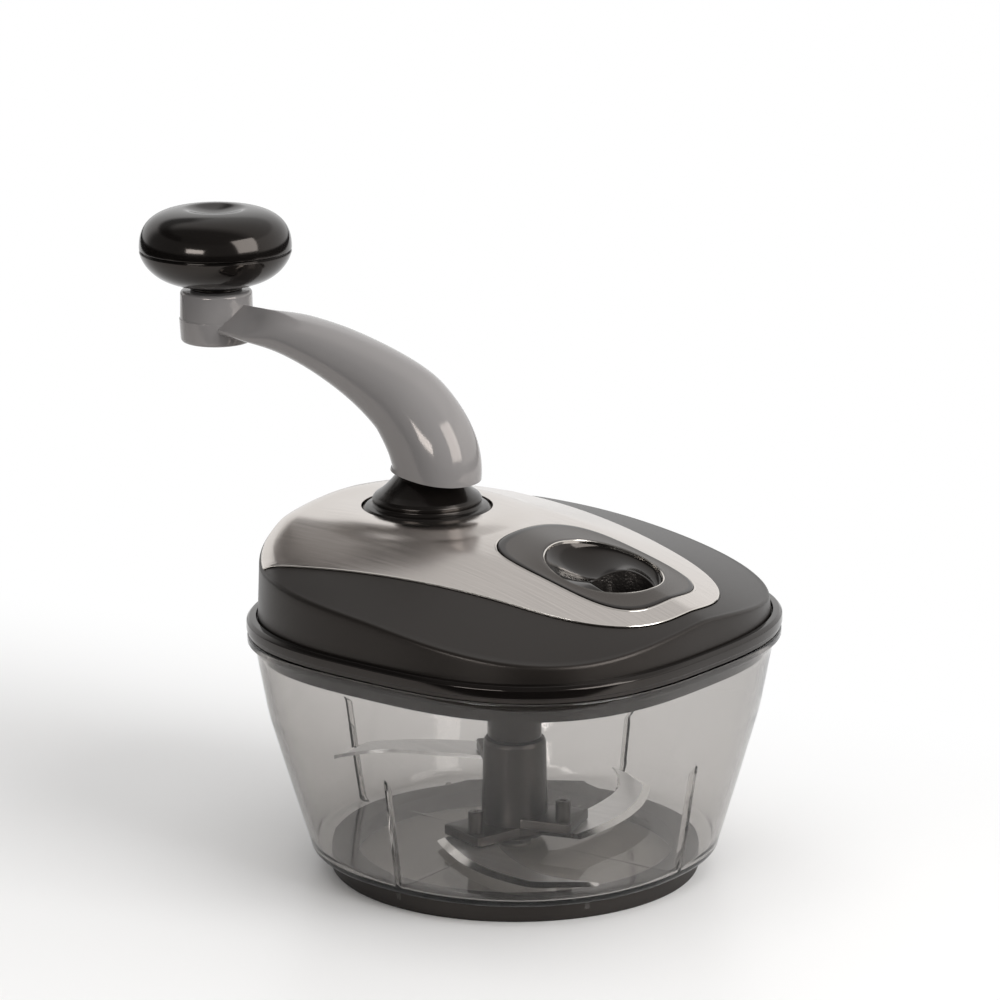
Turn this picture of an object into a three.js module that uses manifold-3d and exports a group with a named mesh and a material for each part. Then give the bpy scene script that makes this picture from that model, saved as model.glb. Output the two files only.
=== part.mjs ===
import * as THREE from "three";
import { mergeVertices } from "three/addons/utils/BufferGeometryUtils.js";
import Module from "manifold-3d";

// Crank food chopper: a clear bowl on a non-slip foot, a three-bladed cutter on a pin, and a lid
// that holds a step-up gear pair between the crank and the cutter.
// Millimetres, +Z up. The origin lies under the crank's axis, on the surface that the bowl stands on.
// +X points from the crank to the filling hole.

// Driving dimensions of the bowl and its foot
const footHeight = 6.5;
const footInset = 5.3; // from the bowl's foot to the outside of the non-slip ring
const footWidth = 9;
const footEdge = 0.8; // bevel along the ring's lower edge
const bowlFlare = 11.5; // how far the wall leans out from its foot to the rim
const bowlHeight = 75.2; // underside to top of the rim
const bowlWall = 2.2;
const bowlFloor = 2.4;
const bladeMargin = 3.6; // from the sweep of the blades to the wall's foot
const bowlCorner = 2.4; // outer radius between floor and wall
const rimLip = 2; // how far the rim flange stands out
const rimDepth = 2.6;
const ribHeight = 38; // the four ribs stand on the floor, one in the middle of each side
const ribDepth = 2.4;
const ribThickness = 1.6;
const ribTurn = THREE.MathUtils.degToRad(2.5);
const footKeyWidth = 1.8; // keys of the bowl that stop the ring turning
const footKeyDepth = 0.7;
const footKeyHeight = 3.2;
const pinRadius = 2.5; // steel pin that the cutter turns on
const pinHeadRadius = 5.5;
const pinHeadHeight = 1.4;

// Driving dimensions of the lid
const lidFlange = 1.7; // thickness over the bowl's rim
const lidRingHeight = 5.7; // moulded ring round the housing's foot
const lidRingLip = 2.5; // how far the ring stands out from the housing
const lidSkirt = 6.6; // skirt that drops inside the bowl
const skirtWall = 2;
const lidFloor = 2.2;
const housingInset = 0.3; // from the bowl's wall under the rim to the housing's
const housingWall = 2.4;
const housingDraft = 0.08; // sideways lean of the wall for each millimetre of height
const crownRise = 35.1; // from the lid's seat to the top of the crown
const ridgeRadius = 338; // long arc of the crown, highest over the crank
const crownHalf = 14.7; // half width of the crown's round top
const crownSlope = 0.26; // fall of its sides for each millimetre outwards
const landRadius = 23.5; // flat land round the crank
const landBlend = 14;
const landDrop = 0.4;
const endRoll = 5.3; // drop of the rolled edge at the crank end
const endRollWidth = 7;
const endRollStart = 0.54; // where it starts, as a share of the housing's half width
const endRollFull = 0.77; // and where it is complete
const endRollEdge = 0.95; // share of the quarter round that the roll covers
const sleeveRadius = 9; // tube that guides the cutter's drive
const screwRadius = 1.5;
const screwHeadRadius = 3;
const screwHeadHeight = 1.8;
const screwLength = 9;
const screwBossWall = 2.2;
const plateThickness = 0.8; // stainless cover plate
const plateProud = 0.35; // of its top over the housing
const plateEdge = 1.5; // housing left bare round the plate's crank end
const plateTaper = 0.23; // narrowing towards the filling hole
const trimProud = 1.4;
const trimSunk = 0.5;
// Plate, surround and filling hole, as shares of the housing's half width
const plateRootShare = 0.634; // half width of the plate beside the bowl's axis
const plateTipShare = 0.911; // reach of its rounded tip from the bowl's axis
const plateTipRoundShare = 0.529; // length of the rounding
const trimLengthShare = 0.389; // half length of the moulded surround
const trimWidthShare = 0.298;
const trimPlaceShare = 0.395; // its centre, from the bowl's axis
const fillRadiusShare = 0.247;
const fillPlaceShare = 0.465;
const cupDepth = 14;
const cupWall = 1.6;
const cupFlatness = 0.8; // height of its rounding over the width
const cupFloorRadius = 7;
const dripRadius = 3; // outlet of the cup
const dripWall = 1.4;

// Driving dimensions of the drive
const crankPlaceShare = 0.4777; // of the crank's axis from the bowl's, in half widths of the housing
const driveTeeth = 45;
const pinionTeeth = 15;
const gearWidth = 7;
const pinionExtra = 0.5; // wider than the drive gear on each side
const gearLift = 7; // over the lid's floor
const gearBacklash = 0.3;
const pressureAngle = THREE.MathUtils.degToRad(25);
const pinionShaftRadius = 5.5;
const pinionStubRadius = 4;
const pinionStubLength = 6;
const hexRadius = 4.4; // corner radius of the drive hexagon
const hexLength = 12;
const hexPlay = 0.3;
const bushWall = 1.5;
const bushLength = 10;
const crankShaftRadius = 5;
const crankBushLength = 12;
const gearScrewRadius = 2;
const gearScrewLength = 12;
const gearScrewHead = 2.6; // height and half width grow together
const washerThickness = 0.6;
const washerRadius = 9;

// Driving dimensions of the crank
const crankReach = 93.2;
const collarRadius = 21.7; // lip of the collar, in the plate's hole
const collarLip = 2.2;
const collarShoulder = 18.4;
const collarShoulderRise = 4.2;
const collarNeck = 7.5; // its top, inside the hood
const collarRise = 20; // top of the collar over the crown
const collarSweep = 2.1; // exponent of its bell's curve
const beadStart = -30; // degrees round the bead on its shoulder
const beadEnd = 80;
const collarSunk = 1.8; // below the crown
const hoodLift = 11.7; // middle of the hood's open end over the crown
const hoodTilt = 6.5; // degrees
const hoodSunk = 1.3; // of that end below the start of the arm's curve
const hoodHalfLength = 16.2; // along the arm
const hoodHalfWidth = 13.5;
const hoodShift = 4.6; // of the hood's middle past the crank's axis
const armRise = 40; // from the start of the arm's curve to the middle of the boss
const bossRadius = 12.7;
const bossHeight = 18.1;
const bossRound = 1.6;
const bossDraft = 0.25;
const bossParting = 0.45; // height of its parting line, as a share
const shaftGrip = 12; // length of the shaft inside the arm
const knobRadius = 26.5;
const knobRise = 14.7; // of its crown over the seam
const knobDrop = 11.7; // of its underside below the seam
const knobSeam = 14.1; // seam over the boss
const knobGroove = 0.8;
const knobGrooveDepth = 1.1;
const knobNeckRadius = 9.2;
const dishRadius = 9.6;
const knobDish = 2;
const knobWall = 2.4;
const axleRadius = 3;
const axleHeadRadius = 6;
const axleHeadHeight = 2.4;
const axleGrip = 11;

// Driving dimensions of the cutter
const cutterClear = 1.6; // over the bowl's floor
const columnFoot = 11.2;
const columnTop = 10.5;
const columnHeight = 33;
const columnWeb = 2.4; // between the pin's bore and the drive's socket
const platformReachShare = 0.374; // of the blades' reach
const platformHalfShare = 0.156;
const platformThickness = 3.4;
const bladeReach = 61.5;
const bladeThickness = 1.2;
const bladeBevel = 2.6;
const postRadius = 2.55;
const postHeight = 7;
const postShank = 1.5;
const firstBladeAngle = THREE.MathUtils.degToRad(-103);

// Clearances
const seatGap = 0.3; // between pieces that rest on or in each other
const runningGap = 0.08; // radial, on what turns
const overrun = 2; // of every cut past the face it opens
const weld = 0.0001;

// Counts
const planSides = 40;
const plateSides = 36;
const trimSides = 32;
const armSides = 20;
const armStations = 14;
const knobSides = 30;
const roundSides = 24;
const boreSides = 16;
const smallSides = 10;
const ribCount = 4;
const footKeyCount = 6;
const bladeCount = 3;
const screwCount = 4;
const fullTurn = Math.PI * 2;

// Exponents of rounded outlines; 2 is a circle or an ellipse
const rimSquareness = 2.8;
const crownSquareness = 2.67; // of the housing's
const footSquareness = 2.25; // of the bowl's foot
const tipSquareness = 2.9; // of the plate's tip
const trimSquareness = 3.4;
const armSquareness = { above: 2.2, below: 2.6 };
const knobSquareness = { above: [2.5, 2.5], below: [1.55, 3.4] }; // up the side, then outwards
const squareFrom = 0.65; // share of the bowl's height from which it is as square as its rim

// Heights and places that follow from the sizes above
const bowlFootHalf = bladeReach + bladeMargin + bowlWall; // where the wall starts
const bowlRimHalf = bowlFootHalf + bowlFlare; // of the wall under the rim
const footRadius = bowlFootHalf - footInset; // outside of the non-slip ring
const housingHalf = bowlRimHalf - housingInset;
const plateRootHalf = housingHalf * plateRootShare;
const plateEndHalf = housingHalf - plateEdge;
const plateTip = housingHalf * plateTipShare;
const plateTipRound = housingHalf * plateTipRoundShare;
const trimHalfLength = housingHalf * trimLengthShare;
const trimHalfWidth = housingHalf * trimWidthShare;
const trimPlace = housingHalf * trimPlaceShare;
const fillRadius = housingHalf * fillRadiusShare;
const fillPlace = housingHalf * fillPlaceShare;
const platformReach = bladeReach * platformReachShare;
const platformHalf = bladeReach * platformHalfShare;
const bowlX = housingHalf * crankPlaceShare;
const gearModule = (2 * bowlX) / (driveTeeth + pinionTeeth);
const bowlUnder = footHeight + seatGap;
const floorTop = bowlUnder + bowlFloor;
const rimTop = bowlUnder + bowlHeight;
const lidSeat = rimTop + seatGap;
const lidFloorTop = lidSeat + lidFlange;
const lidFloorUnder = lidFloorTop - lidFloor;
const ringTop = lidSeat + lidRingHeight;
const crownTop = lidSeat + crownRise;
const landTop = crownTop - landDrop;
const gearLow = lidFloorTop + gearLift;
const gearHigh = gearLow + gearWidth;
const collarHole = collarRadius + seatGap + seatGap / 2;
const bushLow = landTop - collarSunk - seatGap - crankBushLength;
const hoodLow = crownTop + hoodLift;
const armLow = hoodLow + hoodSunk;
const bossLow = armLow + armRise - bossHeight / 2;
const bossHigh = bossLow + bossHeight;
const seamZ = bossHigh + knobSeam;
const cutterLow = floorTop + cutterClear;
const columnHigh = cutterLow + columnHeight;
const sleeveLow = columnHigh + seatGap;
const hexLow = columnHigh - hexLength + 3 * seatGap;
const socketLow = hexLow - seatGap;
const pinTip = socketLow - columnWeb - seatGap;

const wasm = await Module();
wasm.setup();

// Materials
const clear = finish(0x8a8480, 0.08, 0, 0.35);
const glossBlack = finish(0x151312, 0.12, 0);
const satinBlack = finish(0x262321, 0.45, 0);
const rubber = finish(0x1c1b1a, 0.75, 0);
const armGrey = finish(0x7f7a76, 0.18, 0);
const brushed = finish(0xb6afa8, 0.34, 1);
const steel = finish(0xc4c2be, 0.22, 1);
const brass = finish(0xb08d4a, 0.35, 1);
const acetal = finish(0xe4e0d6, 0.5, 0);

function finish(color, roughness, metalness, opacity = 1) {
  return new THREE.MeshStandardMaterial({ color, roughness, metalness, opacity, transparent: opacity < 1 });
}

// Solids and their joins

function solid(geometry) {
  const bare = geometry.index ? geometry.toNonIndexed() : geometry.clone();
  const plain = new THREE.BufferGeometry().setAttribute("position", bare.getAttribute("position"));
  const merged = mergeVertices(plain, weld);
  return new wasm.Manifold(
    new wasm.Mesh({
      numProp: 3,
      vertProperties: merged.attributes.position.array,
      triVerts: new Uint32Array(merged.index.array),
    }),
  );
}

function shape(body) {
  const mesh = body.getMesh();
  const geometry = new THREE.BufferGeometry();
  geometry.setAttribute("position", new THREE.BufferAttribute(mesh.vertProperties, mesh.numProp));
  geometry.setIndex(new THREE.BufferAttribute(mesh.triVerts, 1));
  geometry.computeVertexNormals();
  return geometry;
}

function cut(body, ...tools) {
  return tools.reduce((left, tool) => left.subtract(tool), body);
}

function join(body, ...more) {
  return more.reduce((whole, piece) => whole.add(piece), body);
}

// A body skinned over rings of equal length, each end closed on its ring's middle.
function loft(rings) {
  const sides = rings[0].length;
  const middle = (ring) => ring.reduce((sum, p) => sum.add(p), new THREE.Vector3()).divideScalar(sides);
  const points = [...rings.flat(), middle(rings[0]), middle(rings.at(-1))];
  const faces = [];
  const last = (rings.length - 1) * sides;
  for (let side = 0; side < sides; side++) {
    const next = (side + 1) % sides;
    faces.push(points.length - 2, next, side);
    faces.push(points.length - 1, last + side, last + next);
    for (let ring = 0; ring < last; ring += sides) {
      faces.push(ring + side, ring + next, ring + sides + side);
      faces.push(ring + next, ring + sides + next, ring + sides + side);
    }
  }
  const geometry = new THREE.BufferGeometry().setFromPoints(points).setIndex(faces);
  const made = solid(geometry);
  if (made.volume() > 0) return made;
  return solid(geometry.setIndex(faces.reverse()));
}

// A turned body from a profile of [radius, height] pairs that starts and ends on the axis or closes on itself.
function turned(profile, sides = roundSides) {
  const points = profile.map(([radius, height]) => new THREE.Vector2(radius, height));
  const geometry = new THREE.LatheGeometry(points, sides).rotateX(Math.PI / 2);
  const made = solid(geometry);
  return made.volume() > 0 ? made : solid(new THREE.LatheGeometry(points.reverse(), sides).rotateX(Math.PI / 2));
}

function rod(radius, low, high, sides = smallSides, x = 0, y = 0) {
  const geometry = new THREE.CylinderGeometry(radius, radius, high - low, sides).rotateX(Math.PI / 2);
  return solid(geometry.translate(x, y, (low + high) / 2));
}

// Corner radius of a bore whose flats clear a radius.
function clearing(radius) {
  return radius / Math.cos(Math.PI / boreSides);
}

function tube(outer, inner, low, high, sides = roundSides) {
  return turned([[inner, low], [outer, low], [outer, high], [inner, high], [inner, low]], sides);
}

function block(width, depth, low, high, x = 0, y = 0, turn = 0) {
  const geometry = new THREE.BoxGeometry(width, depth, high - low);
  return solid(geometry.translate(x, y, (low + high) / 2).rotateZ(turn));
}

function slab(outline, low, high, curveSegments = 1) {
  const plate = new THREE.ExtrudeGeometry(outline, { depth: high - low, bevelEnabled: false, curveSegments });
  return solid(plate.translate(0, 0, low));
}

function around(count, make) {
  return Array.from({ length: count }, (_, item) => make((item * fullTurn) / count, item));
}

// Points of a quarter round from one end to the other, for profiles.
function rounding(centreR, centreZ, radius, from, to, steps = 4) {
  return Array.from({ length: steps + 1 }, (_, step) => {
    const angle = THREE.MathUtils.degToRad(from + ((to - from) * step) / steps);
    return [centreR + radius * Math.cos(angle), centreZ + radius * Math.sin(angle)];
  });
}

// Plan shapes

// Distance from the middle to the edge of a rounded square.
function squareReach(turn, half, squareness) {
  const spread = Math.abs(Math.cos(turn)) ** squareness + Math.abs(Math.sin(turn)) ** squareness;
  return half / spread ** (1 / squareness);
}

function squareRing(half, z, squareness = rimSquareness) {
  return around(planSides, (turn) => {
    const reach = squareReach(turn, half, squareness);
    return new THREE.Vector3(reach * Math.cos(turn), reach * Math.sin(turn), typeof z === "function" ? z(turn) : z);
  });
}

// Bowl

// Share of the way from the foot to the rim, and the wall's half width and plan there.
function bowlShare(z) {
  const wallFoot = bowlUnder + bowlCorner;
  return THREE.MathUtils.clamp((z - wallFoot) / (rimTop - rimDepth - wallFoot), 0, 1);
}

function bowlHalf(z) {
  return THREE.MathUtils.lerp(bowlFootHalf, bowlRimHalf, bowlShare(z));
}

// The wall starts almost round and is as square as the rim higher up.
function bowlRing(z, inset) {
  const share = Math.min(bowlShare(z) / squareFrom, 1);
  return squareRing(bowlHalf(z) - inset, z, THREE.MathUtils.lerp(footSquareness, rimSquareness, share));
}

const wallShares = [0, 0.3, 0.66, 1];

function bowlShell() {
  const wallFoot = bowlUnder + bowlCorner;
  const wallHead = rimTop - rimDepth;
  const corner = rounding(bowlFootHalf - bowlCorner, wallFoot, bowlCorner, -90, 0, 2);
  const outside = wallShares.slice(1).map((share) => bowlRing(wallFoot + (wallHead - wallFoot) * share, 0));
  const innerFoot = floorTop + bowlCorner + bowlWall;
  const insideRound = rounding(bowlFootHalf - bowlWall - 2 * bowlCorner, innerFoot, 2 * bowlCorner, 0, -90, 2);
  const lowest = insideRound.at(-1)[1];
  const inside = wallShares.slice(1).map((share) => bowlRing(innerFoot + (rimTop - innerFoot) * share, bowlWall));
  return loft([
    ...corner.map(([half, z]) => squareRing(half, z, footSquareness)),
    ...outside,
    squareRing(bowlRimHalf + rimLip, wallHead),
    squareRing(bowlRimHalf + rimLip, rimTop - rimDepth / 4),
    squareRing(bowlRimHalf + rimLip - rimDepth / 4, rimTop),
    ...inside.reverse(),
    ...insideRound.map(([half, z]) => squareRing(half, z - lowest + floorTop, footSquareness)),
  ]);
}

// A rib follows the wall from the floor to its hooked top.
function rib(turn) {
  const high = floorTop + ribHeight;
  const heights = wallShares.map((share) => floorTop - bowlFloor / 2 + (ribHeight + bowlFloor / 2) * share);
  const outer = heights.map((z) => new THREE.Vector2(bowlHalf(z) - bowlWall / 2, z));
  const inner = heights.map((z) => new THREE.Vector2(bowlHalf(z) - bowlWall - ribDepth, Math.min(z, high - ribDepth)));
  const outline = new THREE.Shape([...outer, ...inner.reverse()]);
  const plate = new THREE.ExtrudeGeometry(outline, { depth: ribThickness, bevelEnabled: false });
  return solid(plate.translate(0, 0, -ribThickness / 2).rotateX(Math.PI / 2).rotateZ(turn + ribTurn));
}

function footKey(turn, grow) {
  const reach = footRadius - footKeyDepth / 2;
  const length = footKeyDepth + grow * 2;
  const low = footHeight - footKeyHeight - grow;
  return block(length, footKeyWidth + grow * 2, low, bowlUnder + bowlFloor / 2, reach + grow, 0, turn);
}

const keyTurn = fullTurn / footKeyCount / 2;

function bowl() {
  const ribs = around(ribCount, rib);
  const keys = around(footKeyCount, (turn) => footKey(turn + keyTurn, 0));
  const pinHole = rod(pinRadius + runningGap, bowlUnder - overrun, floorTop + overrun);
  return cut(join(bowlShell(), ...ribs, ...keys), pinHole);
}

function footRing() {
  const inner = footRadius - footWidth;
  const ring = turned(
    [
      [inner, 0],
      [footRadius - footEdge, 0],
      [footRadius, footEdge],
      [footRadius, footHeight],
      [inner, footHeight],
      [inner, 0],
    ],
    planSides,
  );
  const notches = around(footKeyCount, (turn) => footKey(turn + keyTurn, seatGap));
  return cut(ring, ...notches);
}

function pivotPin() {
  return turned(
    [
      [0, footHeight - pinHeadHeight],
      [pinHeadRadius, footHeight - pinHeadHeight],
      [pinHeadRadius, footHeight],
      [pinRadius, footHeight],
      [pinRadius, pinTip - pinRadius / 2],
      [pinRadius / 2, pinTip],
      [0, pinTip],
    ],
    smallSides,
  );
}

// Crown of the lid

// Rises by one for each millimetre beyond the crown's round top, and hardly before it.
function softRamp(out) {
  const beyond = out - crownHalf;
  return (beyond + Math.hypot(beyond, crownHalf)) / 2;
}

// Height of the lid's skin at a place measured from the bowl's axis.
function crownHeight(x, y) {
  const fromCrank = x + bowlX;
  const ridge = crownTop - Math.max(fromCrank, 0) ** 2 / (2 * ridgeRadius);
  const side = crownSlope * (softRamp(Math.hypot(y, crownHalf / 3) - crownHalf / 3) - softRamp(0));
  const away = (Math.hypot(fromCrank, y) - landRadius) / landBlend;
  const land = THREE.MathUtils.smoothstep(away, 0, 1);
  return THREE.MathUtils.lerp(landTop, ridge - side, land) - rolledDrop(x, y);
}

// The edge rolls down at the crank end only.
function rolledDrop(x, y) {
  const end = THREE.MathUtils.smoothstep(-x / housingHalf, endRollStart, endRollFull);
  const reach = squareReach(Math.atan2(y, x), housingHalf, crownSquareness);
  const from = 1 - endRollWidth / housingHalf;
  const share = THREE.MathUtils.clamp((Math.hypot(x, y) / reach - from) / (1 - from), 0, 1) * endRollEdge;
  return end * endRoll * (1 - Math.sqrt(1 - share ** 2));
}

function skinPoint(x, y, lift) {
  const reach = housingWall / 4;
  const slopeX = (crownHeight(x + reach, y) - crownHeight(x - reach, y)) / (2 * reach);
  const slopeY = (crownHeight(x, y + reach) - crownHeight(x, y - reach)) / (2 * reach);
  const normal = new THREE.Vector3(-slopeX, -slopeY, 1).normalize();
  return new THREE.Vector3(x, y, crownHeight(x, y)).addScaledVector(normal, lift);
}

// A plate that follows the skin. Each ring has a share of the way to the outline and a lift over the skin.
function skinPlate(outline, centre, rings) {
  return loft(
    rings.map(([share, lift]) =>
      outline.map((p) => skinPoint(centre.x + (p.x - centre.x) * share, centre.y + (p.y - centre.y) * share, lift)),
    ),
  );
}

// Rings of a plate of even thickness.
function evenRings(shares, low, high) {
  return [...shares.map((share) => [share, low]), ...shares.toReversed().map((share) => [share, high])];
}

// Edge of a region seen from a centre, found by halving.
function outlineOf(inside, centre, far, sides) {
  return around(sides, (turn) => {
    let near = 0;
    let out = far;
    for (let pass = 0; pass < 30; pass++) {
      const middle = (near + out) / 2;
      if (inside(centre.x + middle * Math.cos(turn), centre.y + middle * Math.sin(turn))) near = middle;
      else out = middle;
    }
    return new THREE.Vector2(centre.x + near * Math.cos(turn), centre.y + near * Math.sin(turn));
  });
}

const plateShares = [0.3, 0.6, 0.85, 1];
const trimShares = [0.6, 1];
const plateUnder = plateProud - plateThickness;
const plateCentre = new THREE.Vector2(0, 0);
const trimCentre = new THREE.Vector2(trimPlace, 0);

// The plate covers the crank end from side to side and narrows to a rounded tip.
function plateOutline(grow) {
  const tipStart = plateTip - plateTipRound;
  return outlineOf(
    (x, y) => {
      const side = plateRootHalf - plateTaper * x + grow;
      const along = THREE.MathUtils.clamp((x - tipStart) / (plateTipRound + grow), 0, 1);
      const edge = squareReach(Math.atan2(y, x), plateEndHalf + grow, crownSquareness);
      return Math.abs(y) < side * (1 - along ** tipSquareness) ** (1 / tipSquareness) && Math.hypot(x, y) < edge;
    },
    plateCentre,
    2 * housingHalf,
    plateSides,
  );
}

function trimOutline(grow) {
  return outlineOf(
    (x, y) => {
      const along = Math.abs(x - trimPlace) / (trimHalfLength + grow);
      const across = Math.abs(y) / (trimHalfWidth + grow);
      return along ** trimSquareness + across ** trimSquareness < 1;
    },
    trimCentre,
    2 * trimHalfLength,
    trimSides,
  );
}

// Lid

const skirtHalf = bowlHalf(lidSeat - lidSkirt) - bowlWall - 2 * seatGap;

const screwPlaces = around(screwCount, (turn) => {
  const angle = turn + fullTurn / 8;
  const reach = squareReach(angle, skirtHalf - skirtWall, rimSquareness) - screwHeadRadius * 2;
  return [reach * Math.cos(angle), reach * Math.sin(angle)];
});

// The moulded ring's edge: how far in and how far up, as shares of its height.
const ringShares = [[0.07, 0], [0.07, 0.4], [0, 0.5], [0.05, 0.76], [0.24, 0.95]];

function lidBase() {
  const outer = housingHalf + lidRingLip;
  const step = lidRingHeight / 10;
  const mouth = housingHalf + seatGap;
  const body = loft([
    squareRing(skirtHalf - skirtWall, lidFloorUnder),
    squareRing(skirtHalf - skirtWall, lidSeat - lidSkirt),
    squareRing(skirtHalf, lidSeat - lidSkirt),
    squareRing(skirtHalf, lidSeat),
    ...ringShares.map(([inward, up]) => squareRing(outer - lidRingHeight * inward, lidSeat + lidRingHeight * up)),
    squareRing(mouth + step, ringTop, crownSquareness),
    squareRing(mouth, ringTop - step, crownSquareness),
    squareRing(mouth, lidFloorTop, crownSquareness),
  ]);
  const sleeve = rod(sleeveRadius, sleeveLow, gearLow - pinionExtra - seatGap, roundSides);
  const bushSeat = rod(
    pinionShaftRadius + runningGap + bushWall + seatGap,
    sleeveLow - overrun,
    sleeveLow + bushLength + seatGap,
    boreSides,
  );
  const bore = rod(clearing(pinionShaftRadius + runningGap), sleeveLow - overrun, gearHigh, boreSides);
  const dripSeat = dripRadius + dripWall + seatGap;
  const drip = rod(dripSeat, lidFloorUnder - overrun, lidFloorTop + overrun, smallSides, fillPlace);
  const screwHoles = screwPlaces.map(([x, y]) =>
    rod(screwRadius + seatGap, lidFloorUnder - overrun, lidFloorTop + overrun, smallSides, x, y),
  );
  return cut(join(body, sleeve), bushSeat, bore, drip, ...screwHoles);
}

// A ring on the crown at a share of the way from the bowl's axis to the wall, lowered by a drop.
function crownRing(share, inset, drop) {
  const lean = housingDraft * (crownTop - ringTop);
  return around(planSides, (turn) => {
    const reach = squareReach(turn, housingHalf - lean / 2, crownSquareness) * share;
    const shrink = 1 - inset / housingHalf;
    const x = reach * Math.cos(turn);
    const y = reach * Math.sin(turn);
    return new THREE.Vector3(x * shrink, y * shrink, crownHeight(x, y) - drop);
  });
}

const crownShares = [0.35, 0.65, 0.88, 1];
const ceilingShares = [0.55, 1];

function housingShell() {
  const bevel = housingWall / 4;
  const wallFoot = lidFloorTop + seatGap;
  const half = (inset, z) => squareRing(housingHalf - inset, z, crownSquareness);
  return loft([
    ...ceilingShares.map((share) => crownRing(share, housingWall, housingWall)),
    half(housingWall, wallFoot),
    half(0, wallFoot),
    half(0, ringTop),
    crownRing(1, 0, bevel),
    ...crownShares.toReversed().map((share) => crownRing(share, bevel, 0)),
  ]);
}

function lidHousing() {
  const land = landTop - collarSunk - seatGap;
  const bushRadius = crankShaftRadius + runningGap + bushWall + seatGap;
  const hub = rod(bushRadius + housingWall, land - crankBushLength, land, boreSides, -bowlX);
  const hubFloor = rod(collarHole + housingWall, land - housingWall, land + overrun / 2, roundSides, -bowlX);
  const hubBore = rod(bushRadius, land - crankBushLength - overrun, land + overrun, boreSides, -bowlX);
  const hubPocket = rod(collarHole, land, crownTop + overrun, roundSides, -bowlX);
  const stubSocket = pinionStubRadius + runningGap;
  const stubTop = gearHigh + pinionExtra + pinionStubLength;
  const skinOverPinion = crownHeight(0, 0) - housingWall / 2;
  const stubBoss = rod(stubSocket + housingWall, gearHigh + pinionExtra + seatGap * 2, skinOverPinion, boreSides);
  const stubBore = rod(clearing(stubSocket), gearHigh, stubTop + seatGap, boreSides);
  const posts = screwPlaces.map(([x, y]) => {
    const top = crownHeight(x, y) - housingWall;
    return rod(screwRadius + screwBossWall, lidFloorTop + seatGap, top, smallSides, x, y);
  });
  const threads = screwPlaces.map(([x, y]) =>
    rod(screwRadius + seatGap / 2, lidFloorTop - overrun, lidFloorUnder + screwLength, smallSides, x, y),
  );
  const recessRings = evenRings(plateShares, plateUnder - seatGap, 3 * overrun);
  const recess = skinPlate(plateOutline(seatGap), plateCentre, recessRings);
  const cupHole = rod(fillRadius + cupWall + seatGap, ringTop, crownTop + overrun, roundSides, fillPlace);
  const shell = join(housingShell(), hubFloor, hub, stubBoss, ...posts);
  return cut(shell, recess, hubBore, hubPocket, stubBore, cupHole, ...threads);
}

function coverPlate() {
  const sheet = skinPlate(plateOutline(0), plateCentre, evenRings(plateShares, plateUnder, plateProud));
  const hubHole = rod(collarHole, ringTop, crownTop + overrun, roundSides, -bowlX);
  const window = skinPlate(trimOutline(seatGap), trimCentre, evenRings(trimShares, -overrun, overrun));
  return cut(sheet, hubHole, window);
}

function fillerTrim() {
  const crest = 1 - trimSunk / trimHalfWidth;
  const ring = skinPlate(trimOutline(0), trimCentre, [
    [trimShares[0], plateUnder],
    [1, plateUnder],
    [1, trimProud - trimSunk],
    [crest, trimProud],
    [trimShares[0], trimProud],
  ]);
  return cut(ring, rod(fillRadius, ringTop, crownTop + overrun, roundSides, fillPlace));
}

function fillerCup() {
  const top = crownHeight(fillPlace, 0);
  const low = top - cupDepth;
  const outer = fillRadius + cupWall;
  const sweep = fillRadius - cupFloorRadius;
  const inside = rounding(cupFloorRadius, 0, sweep, -90, 0, 3).map(([r, z]) => [r, low + (sweep + z) * cupFlatness]);
  const outside = inside.map(([r, z]) => [r + cupWall, z - cupWall * (1 - (r - cupFloorRadius) / sweep)]);
  const spout = lidFloorUnder;
  const cup = turned([
    [dripRadius, spout],
    [dripRadius + dripWall, spout],
    [dripRadius + dripWall, low - cupWall],
    ...outside,
    [outer, crownTop],
    [fillRadius, crownTop],
    ...inside.reverse(),
    [dripRadius, low],
    [dripRadius, spout],
  ]);
  const placed = cup.translate([fillPlace, 0, 0]);
  const under = plateUnder - seatGap;
  const above = skinPlate(trimOutline(overrun), trimCentre, evenRings(trimShares, under, under + crownRise));
  return cut(placed, above);
}

function crankBush() {
  const bore = crankShaftRadius + runningGap;
  return tube(bore + bushWall, clearing(bore), bushLow, bushLow + crankBushLength - seatGap, boreSides);
}

function sleeveBush() {
  const bore = pinionShaftRadius + runningGap;
  return tube(bore + bushWall, clearing(bore), sleeveLow, sleeveLow + bushLength, boreSides);
}

function lidScrew() {
  const headHigh = lidFloorUnder - seatGap;
  return turned(
    [
      [0, headHigh - screwHeadHeight],
      [screwHeadRadius * 0.7, headHigh - screwHeadHeight],
      [screwHeadRadius, headHigh - screwHeadHeight / 2],
      [screwHeadRadius, headHigh],
      [screwRadius, headHigh],
      [screwRadius, headHigh + screwLength],
      [0, headHigh + screwLength],
    ],
    smallSides,
  );
}

// Gears

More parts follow.
